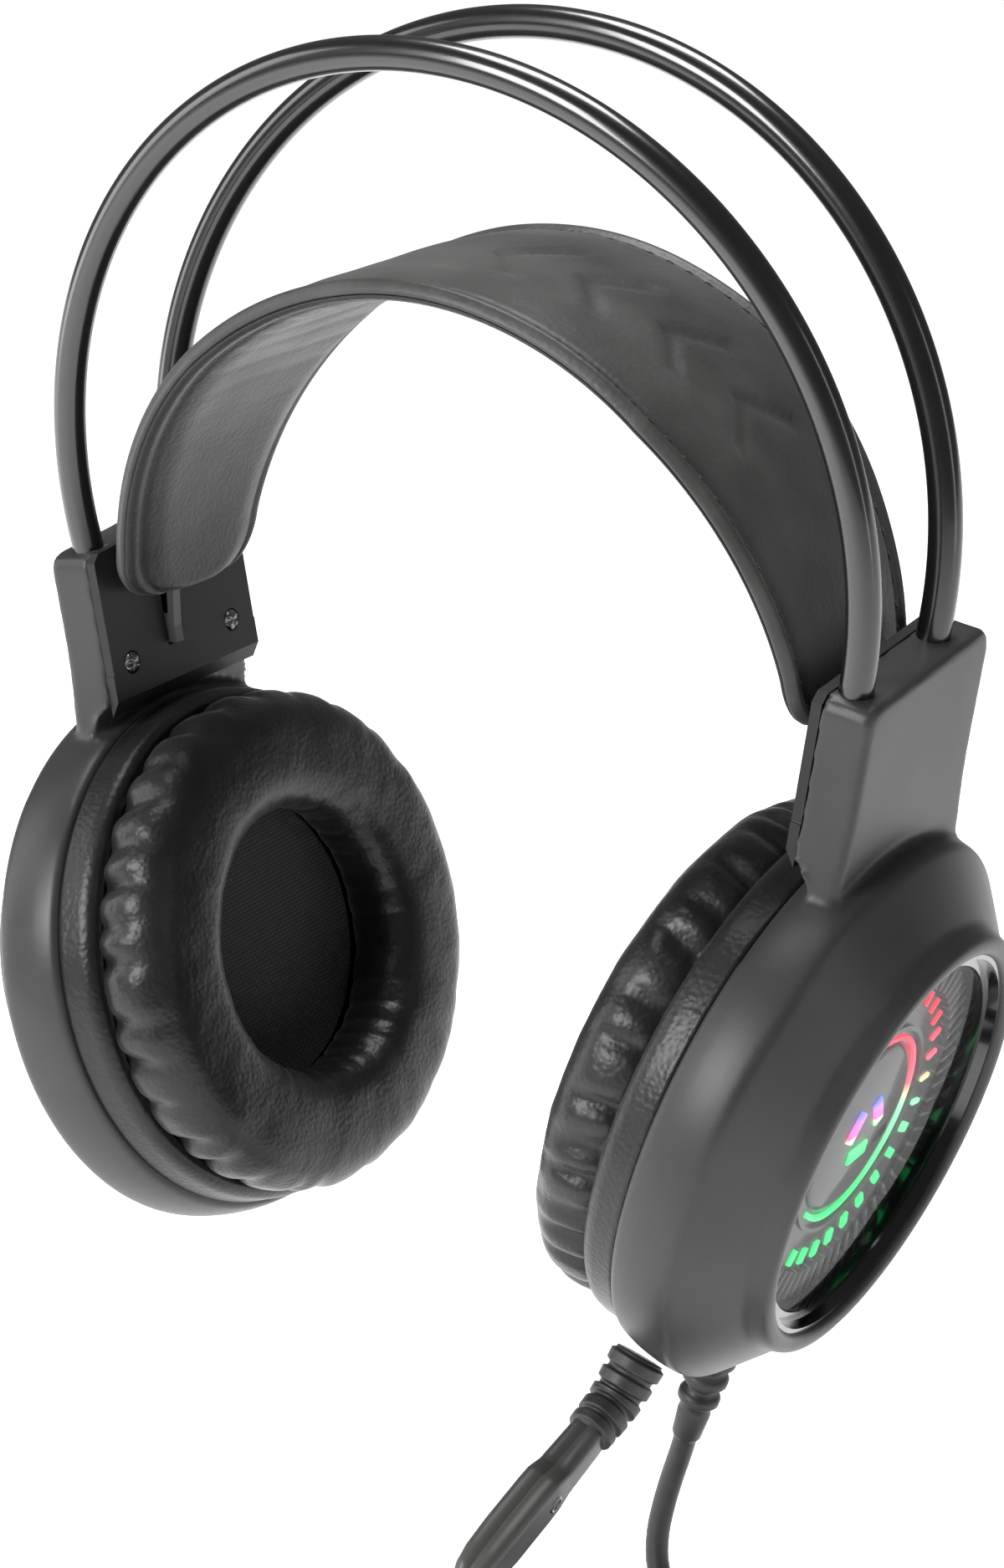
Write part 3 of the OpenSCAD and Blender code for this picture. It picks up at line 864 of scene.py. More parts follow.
@dataclass
class EarCushion:
    """Stuffed leatherette ring, gathered along its outer crease, with the skirt that holds it on the cup."""

    ear_r: float = 23.5
    outer_r: float = 46.4
    back_s: float = -6.4
    thick: float = 15.0
    steps: int = 168
    cap_mm: float = 2.6
    quality: Quality = Quality.FULL

    def profile(self) -> list[tuple[float, float]]:
        """Returns the pad's section, from its back inside edge round the front to the outer crease."""
        front = self.back_s - self.thick
        inner = [(27.5, self.back_s + 1.4), (25.6, self.back_s - 0.6), (24.4, self.back_s - 3.6)]
        bow = arc_points(self.ear_r + 7.6, front + 7.8, 7.2, 182, 262, 6)
        flat = [(34.5, front + 0.75), (37, front + 0.95)]
        shoulder = arc_points(self.outer_r - 8.4, front + 9, 8, 276, 358, 7)
        crease = [(r, self.back_s + s) for r, s in ((45.9, -3.2), (45.2, -1.3), (44.2, 0.2), (42.6, 1.0))]
        back = [(38, self.back_s + 1.3), (32, self.back_s + 1.4)]
        return inner + bow + flat + shoulder + crease + back

    def puff(self, obj: Object) -> None:
        """Inflates the pad like foam under a stretched cover, held at its crease and back.

        Args:
            obj: The pad, in the cup's frame.
        """
        start = [v.co.copy() for v in obj.data.vertices]
        pins = obj.vertex_groups.new(name="sewn")
        sewn = [v.index for v in obj.data.vertices if v.co.z / MM > self.back_s - 1.5]
        pins.add(sewn, 1.0, "REPLACE")
        cloth = obj.modifiers.new("cover", "CLOTH")
        cloth.settings.use_pressure = True
        cloth.settings.uniform_pressure_force = 4.0
        cloth.settings.effector_weights.gravity = 0
        cloth.settings.tension_stiffness = 12
        cloth.settings.compression_stiffness = 12
        cloth.settings.bending_stiffness = 0.4
        cloth.settings.vertex_group_mass = "sewn"
        cloth.point_cache.frame_end = self.quality.value
        scene = bpy.context.scene
        for number in range(1, self.quality.value + 1):
            scene.frame_set(number)
        settle(obj)
        scene.frame_set(1)
        for v, old in zip(obj.data.vertices, start):
            move = v.co - old
            if move.length > self.cap_mm * MM:
                v.co = old + move.normalized() * self.cap_mm * MM
        obj.vertex_groups.clear()

    def gathers(self, seed: int) -> Callable[[float], float]:
        """Makes the row of gathers round the crease.

        Args:
            seed: Seed of the irregular spacing.

        Returns:
            A function from an angle, in radians, to a depth from 0 to about 1.
        """
        rng = Random(seed)
        places: list[tuple[float, float, float]] = []
        angle = 0.0
        while angle < 356:
            places.append((math.radians(angle), math.radians(rng.uniform(1.6, 3.0)), rng.uniform(0.5, 1.1)))
            angle += rng.uniform(7.5, 14.5)

        def depth(a: float) -> float:
            """Returns how deep the cover is drawn in at this angle."""
            total = 0.0
            for centre, width, deep in places:
                off = math.remainder(a - centre, 2 * math.pi)
                if abs(off) < 4 * width:
                    total += deep * math.exp(-((off / width) ** 2))
            return min(total, 1.2)

        return depth

    def wrinkle(self, obj: Object, seed: int) -> None:
        """Draws the gathers and small slack folds into the puffed cover.

        Args:
            obj: The pad, in the cup's frame.
            seed: Seed of its gathers.
        """
        depth = self.gathers(seed)
        front = self.back_s - self.thick
        normals = [v.normal.copy() for v in obj.data.vertices]
        for v, normal in zip(obj.data.vertices, normals):
            x, y, s = v.co / MM
            r, a = math.hypot(x, y), math.atan2(y, x)
            outside = smoothstep(38.5, 44.5, r)
            near_crease = smoothstep(front + 1.5, self.back_s - 3.0, s)
            near_crease *= 1 - smoothstep(self.back_s - 1, self.back_s + 1, s)
            lean = a + 0.05 * math.sin(3 * a + seed) * (s - self.back_s) / self.thick
            pull = 1.8 * outside * near_crease * depth(lean)
            inner = (1 - smoothstep(25, 31, r)) * smoothstep(front, front + 6, s)
            pull += 0.35 * inner * depth(a + 0.4)
            slack = noise.noise(Vector((x, y, s)) * 0.11 + Vector((seed, 0, 0))) * 0.32
            slack += noise.noise(Vector((x, y, s)) * 0.3 + Vector((0, seed, 0))) * 0.1
            v.co += normal * (slack - pull) * MM

    def skirt(self) -> Shape:
        """Returns the band of cover that is stretched over the cup's rim, with a folded hem."""
        outer = [(44.4, -7.4), (46.0, -6.9), (46.9, -5.9), (47.25, -4.4)]
        outer += [(47.35, -2.4), (47.6, -1.2), (47.7, -0.5), (47.4, -0.15)]
        inner = [(46.3, -0.1), (46.0, -2.6), (45.9, -4.6), (44.6, -6.2)]
        return lathe(outer + inner, 240)

    def build(self, side: Side) -> Object:
        """Makes one cushion.

        Args:
            side: Which cup.

        Returns:
            The finished piece.
        """
        name = f"ear_cushion_cover_{side.name.lower()}"
        pad = make_object(name, *lathe(self.profile(), self.steps))
        if self.quality is Quality.FULL:
            self.puff(pad)
        fine = pad.modifiers.new("fine", "SUBSURF")
        fine.levels = fine.render_levels = 1
        settle(pad)
        pad.data.update()
        self.wrinkle(pad, 11 if side is Side.LEFT else 23)
        skirt = make_object("skirt", *self.skirt())
        work = bmesh.new()
        work.from_mesh(pad.data)
        work.from_mesh(skirt.data)
        work.to_mesh(pad.data)
        work.free()
        bpy.data.objects.remove(skirt)
        pad.data.transform(CUPS.cup(side))
        if side is Side.RIGHT:
            pad.data.flip_normals()
        node = f"ear_cushion_{side.name.lower()}"
        finish_piece(pad, "headset", "cushion", [node])
        return pad


@dataclass
class CentreMark:
    """Middle of the lit face: a grey plate with a plain mark of three lit bars, inside a ring of fins."""

    plate_r: float = 15.9
    ledge: float = 16.6
    bar: tuple[float, float] = (2.6, 6.0)
    bar_from: float = 3.2
    fin_half: float = 0.34
    fin: tuple[float, float] = (26.4, 31.6)
    fin_count: int = 60

    def build(self, side: Side) -> list[Object]:
        """Makes the plate, its bars and the fins round them.

        Args:
            side: Which cup.

        Returns:
            The plate, the bars and the fins.
        """
        word = side.name.lower()
        z = self.ledge
        crown = [(0.01, z + 0.75), (6, z + 0.7), (self.plate_r - 1.4, z + 0.35)]
        dome = [*crown, (self.plate_r, z - 0.05), (self.plate_r, z - 0.15), (0.01, z - 0.15)]
        plate = make_object(f"centre_plate_{word}", *lathe(dome, 120, closed=False), matrix=CUPS.cup(side))
        finish_piece(plate, "headset", "plate", [f"emblem_{word}"])
        wide, long = self.bar
        ends = (self.bar_from, self.bar_from + wide)
        levels = [(z + 0.4, 0.0), (z + 1.05, 0.0), (z + 1.25, 0.25)]
        turns = [Matrix.Rotation(math.radians(120 * i + 30), 4, "Z") for i in range(3)]
        bars = [bevelled_bar(turn, ends, long / 2, levels) for turn in turns]
        lit = make_object(f"centre_bars_{word}", *merge(bars), matrix=CUPS.cup(side))
        finish_piece(lit, "headset", "mark")
        return [plate, lit, self.fins(side)]

    def fins(self, side: Side) -> Object:
        """Makes the tops of the radial fins, coloured light grey as a painted highlight for the light they catch.

        Args:
            side: Which cup.

        Returns:
            All the fin tops of one face.
        """
        z = self.ledge
        levels = [(z + 0.9, 0.0), (z + 1.3, 0.0), (z + 1.42, 0.1)]
        turns = [Matrix.Rotation(math.tau * k / self.fin_count, 4, "Z") for k in range(self.fin_count)]
        tops = [bevelled_bar(turn, self.fin, self.fin_half, levels) for turn in turns]
        name = f"face_fins_{side.name.lower()}"
        fins = make_object(name, *merge(tops), matrix=CUPS.cup(side))
        return finish_piece(fins, "headset", "fins")


# ---------------------------------------------------------------- band and strap


@dataclass
class BandWire:
    """One enamelled wire of the band, bent round the head and leaning a little away from the other."""

    bend_r: float = 78.0
    diameter: float = 5.6
    height: float = 86.6
    reach: float = 108.5
    gap: float = 25.4
    lean: float = 4.3
    foot: float = 72.4
    steps: int = 220
    sides: int = 40

    def build(self, front: bool) -> Object:
        """Makes one wire.

        Args:
            front: Whether it is the front one.

        Returns:
            The finished piece.
        """
        sign = -1 if front else 1
        place = (
            Matrix.Translation((0, sign * self.gap / 2, self.foot))
            @ Matrix.Rotation(math.radians(-sign * self.lean), 4, "X")
            @ Matrix.Translation((0, 0, -self.foot))
        )
        line = []
        for i in range(self.steps + 1):
            a = math.radians(self.reach * (2 * i / self.steps - 1))
            line.append(place @ Vector((self.bend_r * math.sin(a), 0, self.height + self.bend_r * math.cos(a))))
        word = "front" if front else "rear"
        wire = make_object(f"band_wire_{word}", *sweep(line, [self.diameter / 2] * len(line), self.sides))
        return finish_piece(wire, "headset", "wire", [f"{word}_band"])


@dataclass
class HeadStrap:
    """Floating strap: padded top with a rolled rim, gathered underside, both in leatherette."""

    half: float = 66.8
    rise: float = 65.4
    base: float = 62.0
    power: float = 1.95
    centre_y: float = 3.0
    wide: float = 53.0
    narrow: float = 39.0
    low: float = 63.0
    taper: float = 48.0
    corner: float = 9.0
    stations: int = 260
    across: int = 52
    rib_mm: float = 7.0

    def point(self, a: float, t: float) -> tuple[float, float]:
        """Returns (x, z) on the arch at angle a, in radians, grown outwards by t mm."""
        c, s, q = math.cos(a), max(math.sin(a), 0.0), 2 / self.power
        x = math.copysign((self.half + t) * abs(c) ** q, c)
        return x, self.base + (self.rise + t) * s**q

    def half_width(self, z: float) -> float:
        """Returns half the strap's width at height z."""
        up = clamp((z - self.low - self.corner) / (self.taper - self.corner))
        wide = self.narrow / 2 + (self.wide - self.narrow) / 2 * up
        below = clamp(self.low + self.corner - z, 0, self.corner)
        return wide - self.corner + math.sqrt(max(self.corner**2 - below**2, 0.04))

    def distances(self, angles: Sequence[float]) -> list[float]:
        """Returns how far along the arch each angle is from the first, in mm."""
        lengths = [0.0]
        for a, b in zip(angles, angles[1:]):
            (x0, z0), (x1, z1) = self.point(a, 0), self.point(b, 0)
            lengths.append(lengths[-1] + math.hypot(x1 - x0, z1 - z0))
        return lengths

    def angles(self) -> list[float]:
        """Returns the arch angles of the stations, evenly spaced along the arch above its low ends."""
        dense = [math.pi * i / 4000 for i in range(4001)]
        kept = [a for a in dense if self.point(a, 0)[1] >= self.low + 0.05]
        lengths = self.distances(kept)
        out, k = [], 0
        for i in range(self.stations + 1):
            want = lengths[-1] * i / self.stations
            while k < len(lengths) - 1 and lengths[k] < want:
                k += 1
            out.append(kept[k])
        return out

    def mark(self, along: float, over: float) -> float:
        """Returns the depth, from 0 to 1, of the plain pressed chevrons beside the top of the strap."""
        deep = 0.0
        for start in (2.0, 18.0, 34.0, 50.0):
            ridge = along - start - abs(over) * 0.8
            within = 1 - smoothstep(9.0, 10.4, abs(over))
            deep = max(deep, (1 - smoothstep(1.2, 2.3, abs(ridge))) * within)
        return deep

    def top_height(self, along: float, over: float, edge: float) -> float:
        """Height of the top surface above the strap's middle layer.

        Args:
            along: Distance from the top of the arch, in mm, towards the wearer's left.
            over: Distance from the strap's centre line, in mm.
            edge: Distance in from the strap's edge, in mm.

        Returns:
            The height, in mm.
        """
        crown = 1.5 + 0.6 * smoothstep(2.6, 12, edge)
        rim = 0.55 * math.exp(-(((edge - 1.3) / 1.0) ** 2))
        groove = 0.5 * math.exp(-(((edge - 3.0) / 0.55) ** 2))
        slow = 0.16 * noise.noise(Vector((along * 0.06, over * 0.09, 3.0)))
        return crown + rim - groove + slow - 0.6 * self.mark(along, over)

    def under_depth(self, along: float, over: float, edge: float) -> float:
        """Depth of the padded underside below the middle layer, in mm, with its gathered ribs."""
        pad = 1.6 + 1.5 * smoothstep(0.5, 9, edge)
        wander = 1.2 * noise.noise(Vector((along * 0.1, over * 0.08, 9.0)))
        ribs = 0.5 - 0.5 * math.cos(2 * math.pi * (along + wander) / self.rib_mm)
        inside = smoothstep(3.2, 9, edge)
        groove = 0.45 * math.exp(-(((edge - 3.0) / 0.6) ** 2))
        return pad - 0.4 * inside * (1 - ribs) ** 3 * (1 - smoothstep(25, 75, abs(along))) - groove

    def stations_data(self) -> list[tuple[float, float, float]]:
        """Returns (angle, distance along from the top, half width) of each station."""
        angles = self.angles()
        lengths = self.distances(angles)
        total = lengths[-1]
        return [(a, total / 2 - s, self.half_width(self.point(a, 0)[1])) for a, s in zip(angles, lengths)]

    def skin(self, top: bool) -> Shape:
        """Returns one of the strap's two layers as a closed shell.

        Args:
            top: Whether it is the upper layer.

        Returns:
            Points and faces.
        """
        loops = []
        for a, along, w in self.stations_data():
            loop = []
            w -= 0 if top else 0.5
            for k in range(self.across + 1):
                over = w * math.sin(math.pi * (k / self.across - 0.5))
                edge = w - abs(over)
                t = self.top_height(along, over, edge) if top else -self.under_depth(along, over, edge)
                fade = math.sqrt(clamp(edge / 1.2))
                t = t * fade if top else -0.55 + (t + 0.55) * fade
                x, z = self.point(a, t)
                loop.append(Vector((x, self.centre_y + over, z)))
            flat = -0.5 if top else -0.6
            for k in range(self.across - 1, 0, -2):
                over = w * 0.97 * math.sin(math.pi * (k / self.across - 0.5))
                x, z = self.point(a, flat)
                loop.append(Vector((x, self.centre_y + over, z)))
            loops.append(loop)
        return loft(loops)

    def stitches(self) -> Shape:
        """Returns short raised stitches, 3.6 mm apart, in the groove along both edges of the top."""
        data = self.stations_data()
        parts = []
        last = None
        for (a0, s0, w0), (a1, s1, w1) in zip(data[4:-6], data[6:-4]):
            if last is not None and last - s0 < 3.6:
                continue
            last = s0
            for sign in (-1, 1):
                ends = []
                for a, s, w in ((a0, s0, w0), (a1, s1 + 0.2, w1)):
                    over = sign * (w - 3.0)
                    x, z = self.point(a, self.top_height(s, over, 3.0) + 0.18)
                    ends.append(Vector((x, self.centre_y + over, z)))
                line = [ends[0], ends[0].lerp(ends[1], 0.25), ends[0].lerp(ends[1], 0.75), ends[1]]
                parts.append(sweep(line, [0.12, 0.3, 0.3, 0.12], 6))
        return merge(parts)

    def build(self) -> list[Object]:
        """Makes the strap's top, underside and stitches.

        Returns:
            The three pieces.
        """
        top = make_object("strap_top", *self.skin(True))
        finish_piece(top, "strap", "strap_top", ["strap_cover", "strap_core"])
        under = make_object("strap_underside", *self.skin(False))
        finish_piece(under, "strap", "strap_under", ["strap_pad"])
        sewn = make_object("strap_stitches", *self.stitches())
        finish_piece(sewn, "strap", "thread")
        return [top, under, sewn]


# ---------------------------------------------------------------- microphone


@dataclass
class MicNeck:
    """Ribbed rubber sleeve over the microphone's bendable core, from the cup's rim to the boom."""

    turn: float = 35.0
    out: float = 2.8
    hinge_r: float = 59.5
    dip: float = 23.0
    start_r: float = 51.0
    reach: float = 8.0
    ribs: int = 5

    def build(self) -> Object:
        """Makes the sleeve.

        Returns:
            The finished piece.
        """
        a = math.radians(-90 - self.turn)
        down = Vector((math.cos(a), math.sin(a), 0))
        b = math.radians(180 + self.dip)
        ahead = Vector((math.cos(b), math.sin(b), 0))
        lift = Vector((0, 0, self.out))
        hinge = down * self.hinge_r + lift
        root = down * self.start_r + lift
        tip = hinge + ahead * self.reach
        bend = hinge.lerp(root.lerp(tip, 0.5), 0.18)
        line = smooth_line([root, root.lerp(hinge, 0.5), bend, hinge.lerp(tip, 0.55), tip], 24)
        n = len(line) - 1
        radii = []
        for i in range(n + 1):
            u = i / n
            wave = 0.5 + 0.5 * math.cos(2 * math.pi * (u * self.ribs + 0.5))
            core = 5.0 - 0.9 * u
            radii.append(core - 0.75 * (1 - smoothstep(0.05, 0.45, wave)))
        verts, faces = sweep(line, radii, 48, (0, 0, 1))
        sleeve = make_object("mic_neck_sleeve", verts, faces, matrix=CUPS.cup(Side.LEFT))
        PAINTS.dress(sleeve, "rubber")
        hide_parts("mic_neck_root", "mic_neck_ball")
        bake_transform(sleeve)
        log.info("mic_neck_sleeve: bends from headset to mic")
        return sleeve


@dataclass
class MicBoom:
    """Moulded microphone boom: a slim stem that widens to a paddle with a small sound port."""

    neck: MicNeck = field(default_factory=MicNeck)
    stations: tuple[tuple[float, float, float, float], ...] = (
        (7.0, -1.9, 2.3, 1.9), (7.3, -2.7, 3.1, 2.6), (8.0, -3.0, 3.4, 2.9), (12, -3.1, 3.5, 3.0),
        (17.2, -3.3, 3.6, 3.1), (18.6, -3.9, 3.8, 3.2), (20.4, -4.6, 4.2, 3.3), (23, -4.75, 4.45, 3.3),
        (32, -4.7, 4.4, 3.3), (37.5, -4.4, 4.0, 3.15), (40.6, -3.7, 3.4, 2.8), (42.6, -2.6, 2.6, 2.2),
        (43.6, -1.5, 1.8, 1.5), (44.0, -0.4, 0.9, 0.8),
    )
    port_x: float = 21.6

    def place(self) -> Matrix:
        """Returns the boom's frame, in the row frame: x along the boom, z outwards."""
        n = self.neck
        return (
            CUPS.cup(Side.LEFT)
            @ Matrix.Rotation(math.radians(-n.turn), 4, "Z")
            @ Matrix.Translation((0, -n.hinge_r * MM, n.out * MM))
            @ Matrix.Rotation(math.radians(180 + n.dip + n.turn), 4, "Z")
        )

    def loop(self, x: float, low: float, high: float, half: float) -> list[Vector]:
        """Returns one rounded section with the fine split line of its two halves."""
        r = min(1.3, half * 0.7, (high - low) * 0.3)
        points: list[tuple[float, float]] = []
        left, right, up, down = low + r, high - r, half - r, r - half
        for y, z, a0 in ((right, up, 0), (left, up, 90), (left, down, 180), (right, down, 270)):
            points += arc_points(y, z, r, a0, a0 + 90, 5)
            if a0 == 90:
                points += [(low, 0.16), (low + 0.22, 0.0), (low, -0.16)]
        points += [(high, -0.16), (high - 0.22, 0.0), (high, 0.16)]
        return [Vector((x, y, z)) for y, z in points]

    def build(self) -> list[Object]:
        """Makes the boom and its port.

        Returns:
            The two pieces.
        """
        loops = [self.loop(*row) for row in self.fine_rows()]
        boom = make_object("mic_boom_body", *loft(loops), matrix=self.place())
        finish_piece(boom, "mic", "boom", ["mic_boom", "mic_boom_cover"])
        rim = [(0.01, 3.0), (0.75, 3.0), (0.85, 3.38), (1.25, 3.5), (1.6, 3.42), (1.8, 3.25), (1.8, 3.0)]
        turn = Matrix.Translation((self.port_x * MM, 0.4 * MM, 0))
        port = make_object("mic_port", *lathe(rim, 40, closed=False), matrix=self.place() @ turn)
        finish_piece(port, "mic", "gloss")
        return [boom, port]

    def fine_rows(self) -> list[tuple[float, float, float, float]]:
        """Returns the stations with three more, eased in, between each two."""
        rows = []
        for a, b in zip(self.stations, self.stations[1:]):
            for k in range(4):
                t = k / 4
                rows.append(tuple(p + (q - p) * t for p, q in zip(a, b)))
        return [*rows, self.stations[-1]]


# ---------------------------------------------------------------- cord


@dataclass
class Cord:
    """The cord: from the strain relief down to its coil, wound in three layers, and out to the plug."""

    length: float = 2000.0
    diameter: float = 4.2
    centre: tuple[float, float] = (50.0, -33.0)
    inner_r: float = 15.5
    outer_r: float = 32.6
    exit_r: float = 30.3
    layers: tuple[float, float, float] = (-113.4, -117.65, -121.9)
    over_z: float = -109.15
    drop: tuple[Point, ...] = (
        (41.6, -2.5, -75.5), (40.1, -2.6, -81), (38.7, -3.2, -86.3), (37.8, -4.4, -91.5), (37.6, -6, -96.3),
        (38.4, -7.6, -100.8), (40.4, -8.8, -104.6), (43.6, -9.5, -107.4), (47.6, -9.9, -108.8),
    )
    tail: tuple[Point, ...] = (
        (80.3, -39.6, -121.9), (79.9, -46, -121.9), (78.5, -52, -121.9), (75.7, -57.6, -121.9),
        (71.5, -62.4, -121.8), (66.1, -66, -121.4), (60, -68, -120.8), (53.6, -68.6, -120),
        (47.6, -68.6, -119.5), (43, -68.6, -119.4), (38, -68.6, -119.4), (34.5, -68.6, -119.4),
    )

    def on_coil(self, angle: float, r: float, z: float) -> tuple[float, float, float]:
        """Returns a point of the coil at an angle in degrees, radius and height in mm."""
        a = math.radians(angle)
        return (self.centre[0] + r * math.cos(a), self.centre[1] + r * math.sin(a), z)

    def winding(self) -> list[Point]:
        """Returns the coil's points: over its top to the inside, then out, in and out again, layer by layer."""
        top, middle, bottom = self.layers
        points: list[Point] = []
        angle = 82.0
        while angle > -15:
            t = (82 - angle) / 97
            r = 22.6 + (self.inner_r - 22.6) * t * t * (3 - 2 * t)
            points.append(self.on_coil(angle, r, self.over_z))
            angle -= 12
        for i in range(6):
            z = self.over_z + (top - self.over_z) * smoothstep(0, 6, i)
            points.append(self.on_coil(-15 - 10 * i, self.inner_r, z))
        runs = [
            (-75.0, 4.0, self.inner_r, self.outer_r, top, middle),
            (-135.0, 4.0, self.outer_r, self.inner_r, middle, bottom),
            (-195.0, 3 + 165 / 360, self.inner_r, self.exit_r, bottom, bottom),
        ]
        for start, turns, r0, r1, z, after in runs:
            steps = round(turns * 24)
            for i in range(steps):
                share = i / steps
                points.append(self.on_coil(start - 360 * turns * share, r0 + (r1 - r0) * share, z))
            if after != z:
                for i in range(6):
                    points.append(self.on_coil(start - 10 * i, r1, z + (after - z) * smoothstep(0, 6, i)))
        points.append(self.on_coil(0, self.exit_r, bottom))
        return points

    def build(self, with_pieces: Sequence[Object]) -> Object:
        """Args:
            with_pieces: The pieces on it, such as its plug; not used.

        Returns:
            The cord.
        """
        points = [*self.drop, *self.winding(), *self.tail]
        curve = bpy.data.curves.new("cord", "CURVE")
        curve.dimensions = "3D"
        curve.bevel_depth = self.diameter / 2 * MM
        curve.bevel_resolution = 5
        curve.use_fill_caps = True
        line = smooth_line(points, 3)
        spline = curve.splines.new("POLY")
        spline.points.add(len(line) - 1)
        for point, p in zip(spline.points, line):
            point.co = (*(p * MM), 1)
        spline.use_smooth = True
        cord = bpy.data.objects.new("cord", curve)
        bpy.context.scene.collection.objects.link(cord)
        made = sum((b - a).length for a, b in zip(line, line[1:]))
        log.info("cord: %.0f mm along its middle", made)
        finish_piece(cord, "headset", "jacket", ["cord_drop", "cord_coil", "cord_tail"])
        return cord


@dataclass
class StrainRelief:
    """Tapered rubber relief with three rings, where the cord leaves the left cup."""

    turn: float = 2.0
    out: float = 5.0
    start_r: float = 49.0
    end_r: float = 73.5

    def build(self) -> Object:
        """Makes the relief.

        Returns:
            The finished piece.
        """
        base = ((0.01, 0.0), (4.6, 0.0), (4.8, 3.6), (4.3, 4.4))
        profile: list[tuple[float, float]] = [(r, self.start_r + up) for r, up in base]
        z = self.start_r + 5.0
        for i in range(3):
            r = 4.5 - 0.35 * i
            ring = ((1.3, 0.0), (0.5, 0.4), (0.0, 1.0), (0.0, 2.1), (0.5, 2.7), (1.3, 3.0))
            profile += [(r - inset, z + up) for inset, up in ring]
            z += 4.4
        profile += [(2.9, z), (3.0, z + 0.6), (2.65, self.end_r - 0.8), (2.3, self.end_r), (0.01, self.end_r)]
        place = (
            CUPS.cup(Side.LEFT)
            @ Matrix.Rotation(math.radians(-self.turn), 4, "Z")
            @ Matrix.Translation((0, 0, self.out * MM))
            @ Matrix.Rotation(math.radians(90), 4, "X")
        )
        relief = make_object("strain_relief", *lathe(profile, 48, closed=False), matrix=place)
        return finish_piece(relief, "headset", "rubber", ["cord_gland"])


@dataclass
class CordTie:
    """Hook and loop tape wrapped round one side of the coil."""

    centre: tuple[float, float, float] = (26.0, -33.0, -117.2)
    across: float = 22.6
    high: float = 11.8
    width: float = 10.0
    thick: float = 0.9
    steps: int = 64
    squareness: float = 0.45

    def build(self) -> Object:
        """Makes the tie.

        Returns:
            The finished piece.
        """
        loops = []
        for y, grow in ((-0.5, -0.2), (-0.44, 0.0), (0.44, 0.0), (0.5, -0.2)):
            loop = []
            for k in range(self.steps):
                a = 2 * math.pi * k / self.steps
                c, s = math.cos(a), math.sin(a)
                x = math.copysign(abs(c) ** self.squareness, c) * (self.across / 2 + self.thick + grow)
                z = math.copysign(abs(s) ** self.squareness, s) * (self.high / 2 + self.thick + grow)
                loop.append(Vector((self.centre[0] + x, self.centre[1] + y * self.width, self.centre[2] + z)))
            loops.append(loop)
        verts, faces = loft(loops, caps=False)
        tie = make_object("coil_tie", verts, faces)
        wall = tie.modifiers.new("wall", "SOLIDIFY")
        wall.thickness, wall.offset = self.thick * MM, -1
        settle(tie)
        return finish_piece(tie, "headset", "tie", ["cord_tie"])


@dataclass
class PlugBody:
    """Overmoulded grip of the USB plug with its small ribbed tail."""

    at: tuple[float, float, float] = (38.0, -68.6, -119.4)
    size: tuple[float, float, float] = (27.0, 16.0, 8.4)
    corner_r: float = 2.6

    def build(self) -> Object:
        """Makes the grip.

        Returns:
            The finished piece.
        """
        x, y, z = self.at
        l, w, h = self.size
        loops = []
        r = self.corner_r
        nose = [(-11, -1.0), (-11.6, -0.3), (-12.6, 0.0), (-15, 0.0)]
        groove = [(-15.4, -0.35), (-17, -0.35), (-17.4, 0.0)]
        heel = [(-11 - l + 1, 0.0), (-11 - l + 0.2, -0.3), (-11 - l, -0.9)]
        for along, grow in (*nose, *groove, *heel):
            loop = []
            for cx, cy, a0 in ((1, 1, 0), (-1, 1, 90), (-1, -1, 180), (1, -1, 270)):
                middle = (cx * (w / 2 - r + grow), cy * (h / 2 - r + grow))
                for p, q in arc_points(*middle, r, a0, a0 + 90, 6):
                    loop.append(Vector((x + along, y + p, z + q)))
            loops.append(loop)
        profile = [(0.01, 0.0), (2.5, 0.0)]
        for i in range(4):
            wider, up = 0.1 * i, 2.6 * i
            profile += [(3.0 + wider, 1.2 + up), (3.1 + wider, 2.6 + up), (2.6, 2.9 + up), (2.6, 3.4 + up)]
        profile += [(3.3, 12.5), (0.01, 12.5)]
        verts, faces = lathe(profile, 32, closed=False)
        turn = Matrix.Translation((x, y, z)) @ Matrix.Rotation(math.radians(-90), 4, "Y")
        tail = ([turn @ v for v in verts], faces)
        body = make_object("plug_grip", *merge([loft(loops), tail]))
        round_edges(body, 0.3)
        return finish_piece(body, "headset", "rubber", ["usb_plug_body"])


@dataclass
class ArmScrews:
    """Four pan-headed screws with cross recesses that hold the arms' inner plates."""

    places: tuple[float, float] = (-12.0, 17.0)
    low: float = 8.0
    top: float = -5.45

    def build(self) -> Object:
        """Makes the screws.

        Returns:
            The finished piece.
        """
        head = [(0.01, 0.55), (0.9, 0.5), (1.5, 0.25), (1.85, -0.2), (1.85, -0.8)]
        shank = [(0.9, -0.9), (0.85, -3.4), (0.01, -3.4)]
        verts, faces = lathe(head + shank, 32, closed=False)
        verts = [self.recess(v) for v in verts]
        flip = Matrix.Scale(-1, 4, (0, 0, 1))
        parts = []
        for side in Side:
            for x in self.places:
                seat = Matrix.Translation((x * MM, self.low * MM, self.top * MM))
                place = CUPS.cup(side) @ CUPS.arm(MM) @ seat @ flip
                parts.append(([place @ (v * MM) / MM for v in verts], faces))
        screws = make_object("arm_screw_heads", *merge(parts))
        return finish_piece(screws, "headset", "screw", ["arm_screws"])

    def recess(self, v: Vector) -> Vector:
        """Returns a head point, pushed in where the cross recess is."""
        inside = math.hypot(v.x, v.y) < 1.6 and v.z > 0
        arm = min(abs(v.x), abs(v.y)) < 0.35
        return Vector((v.x, v.y, v.z - 0.5)) if inside and arm else v


# ---------------------------------------------------------------- room


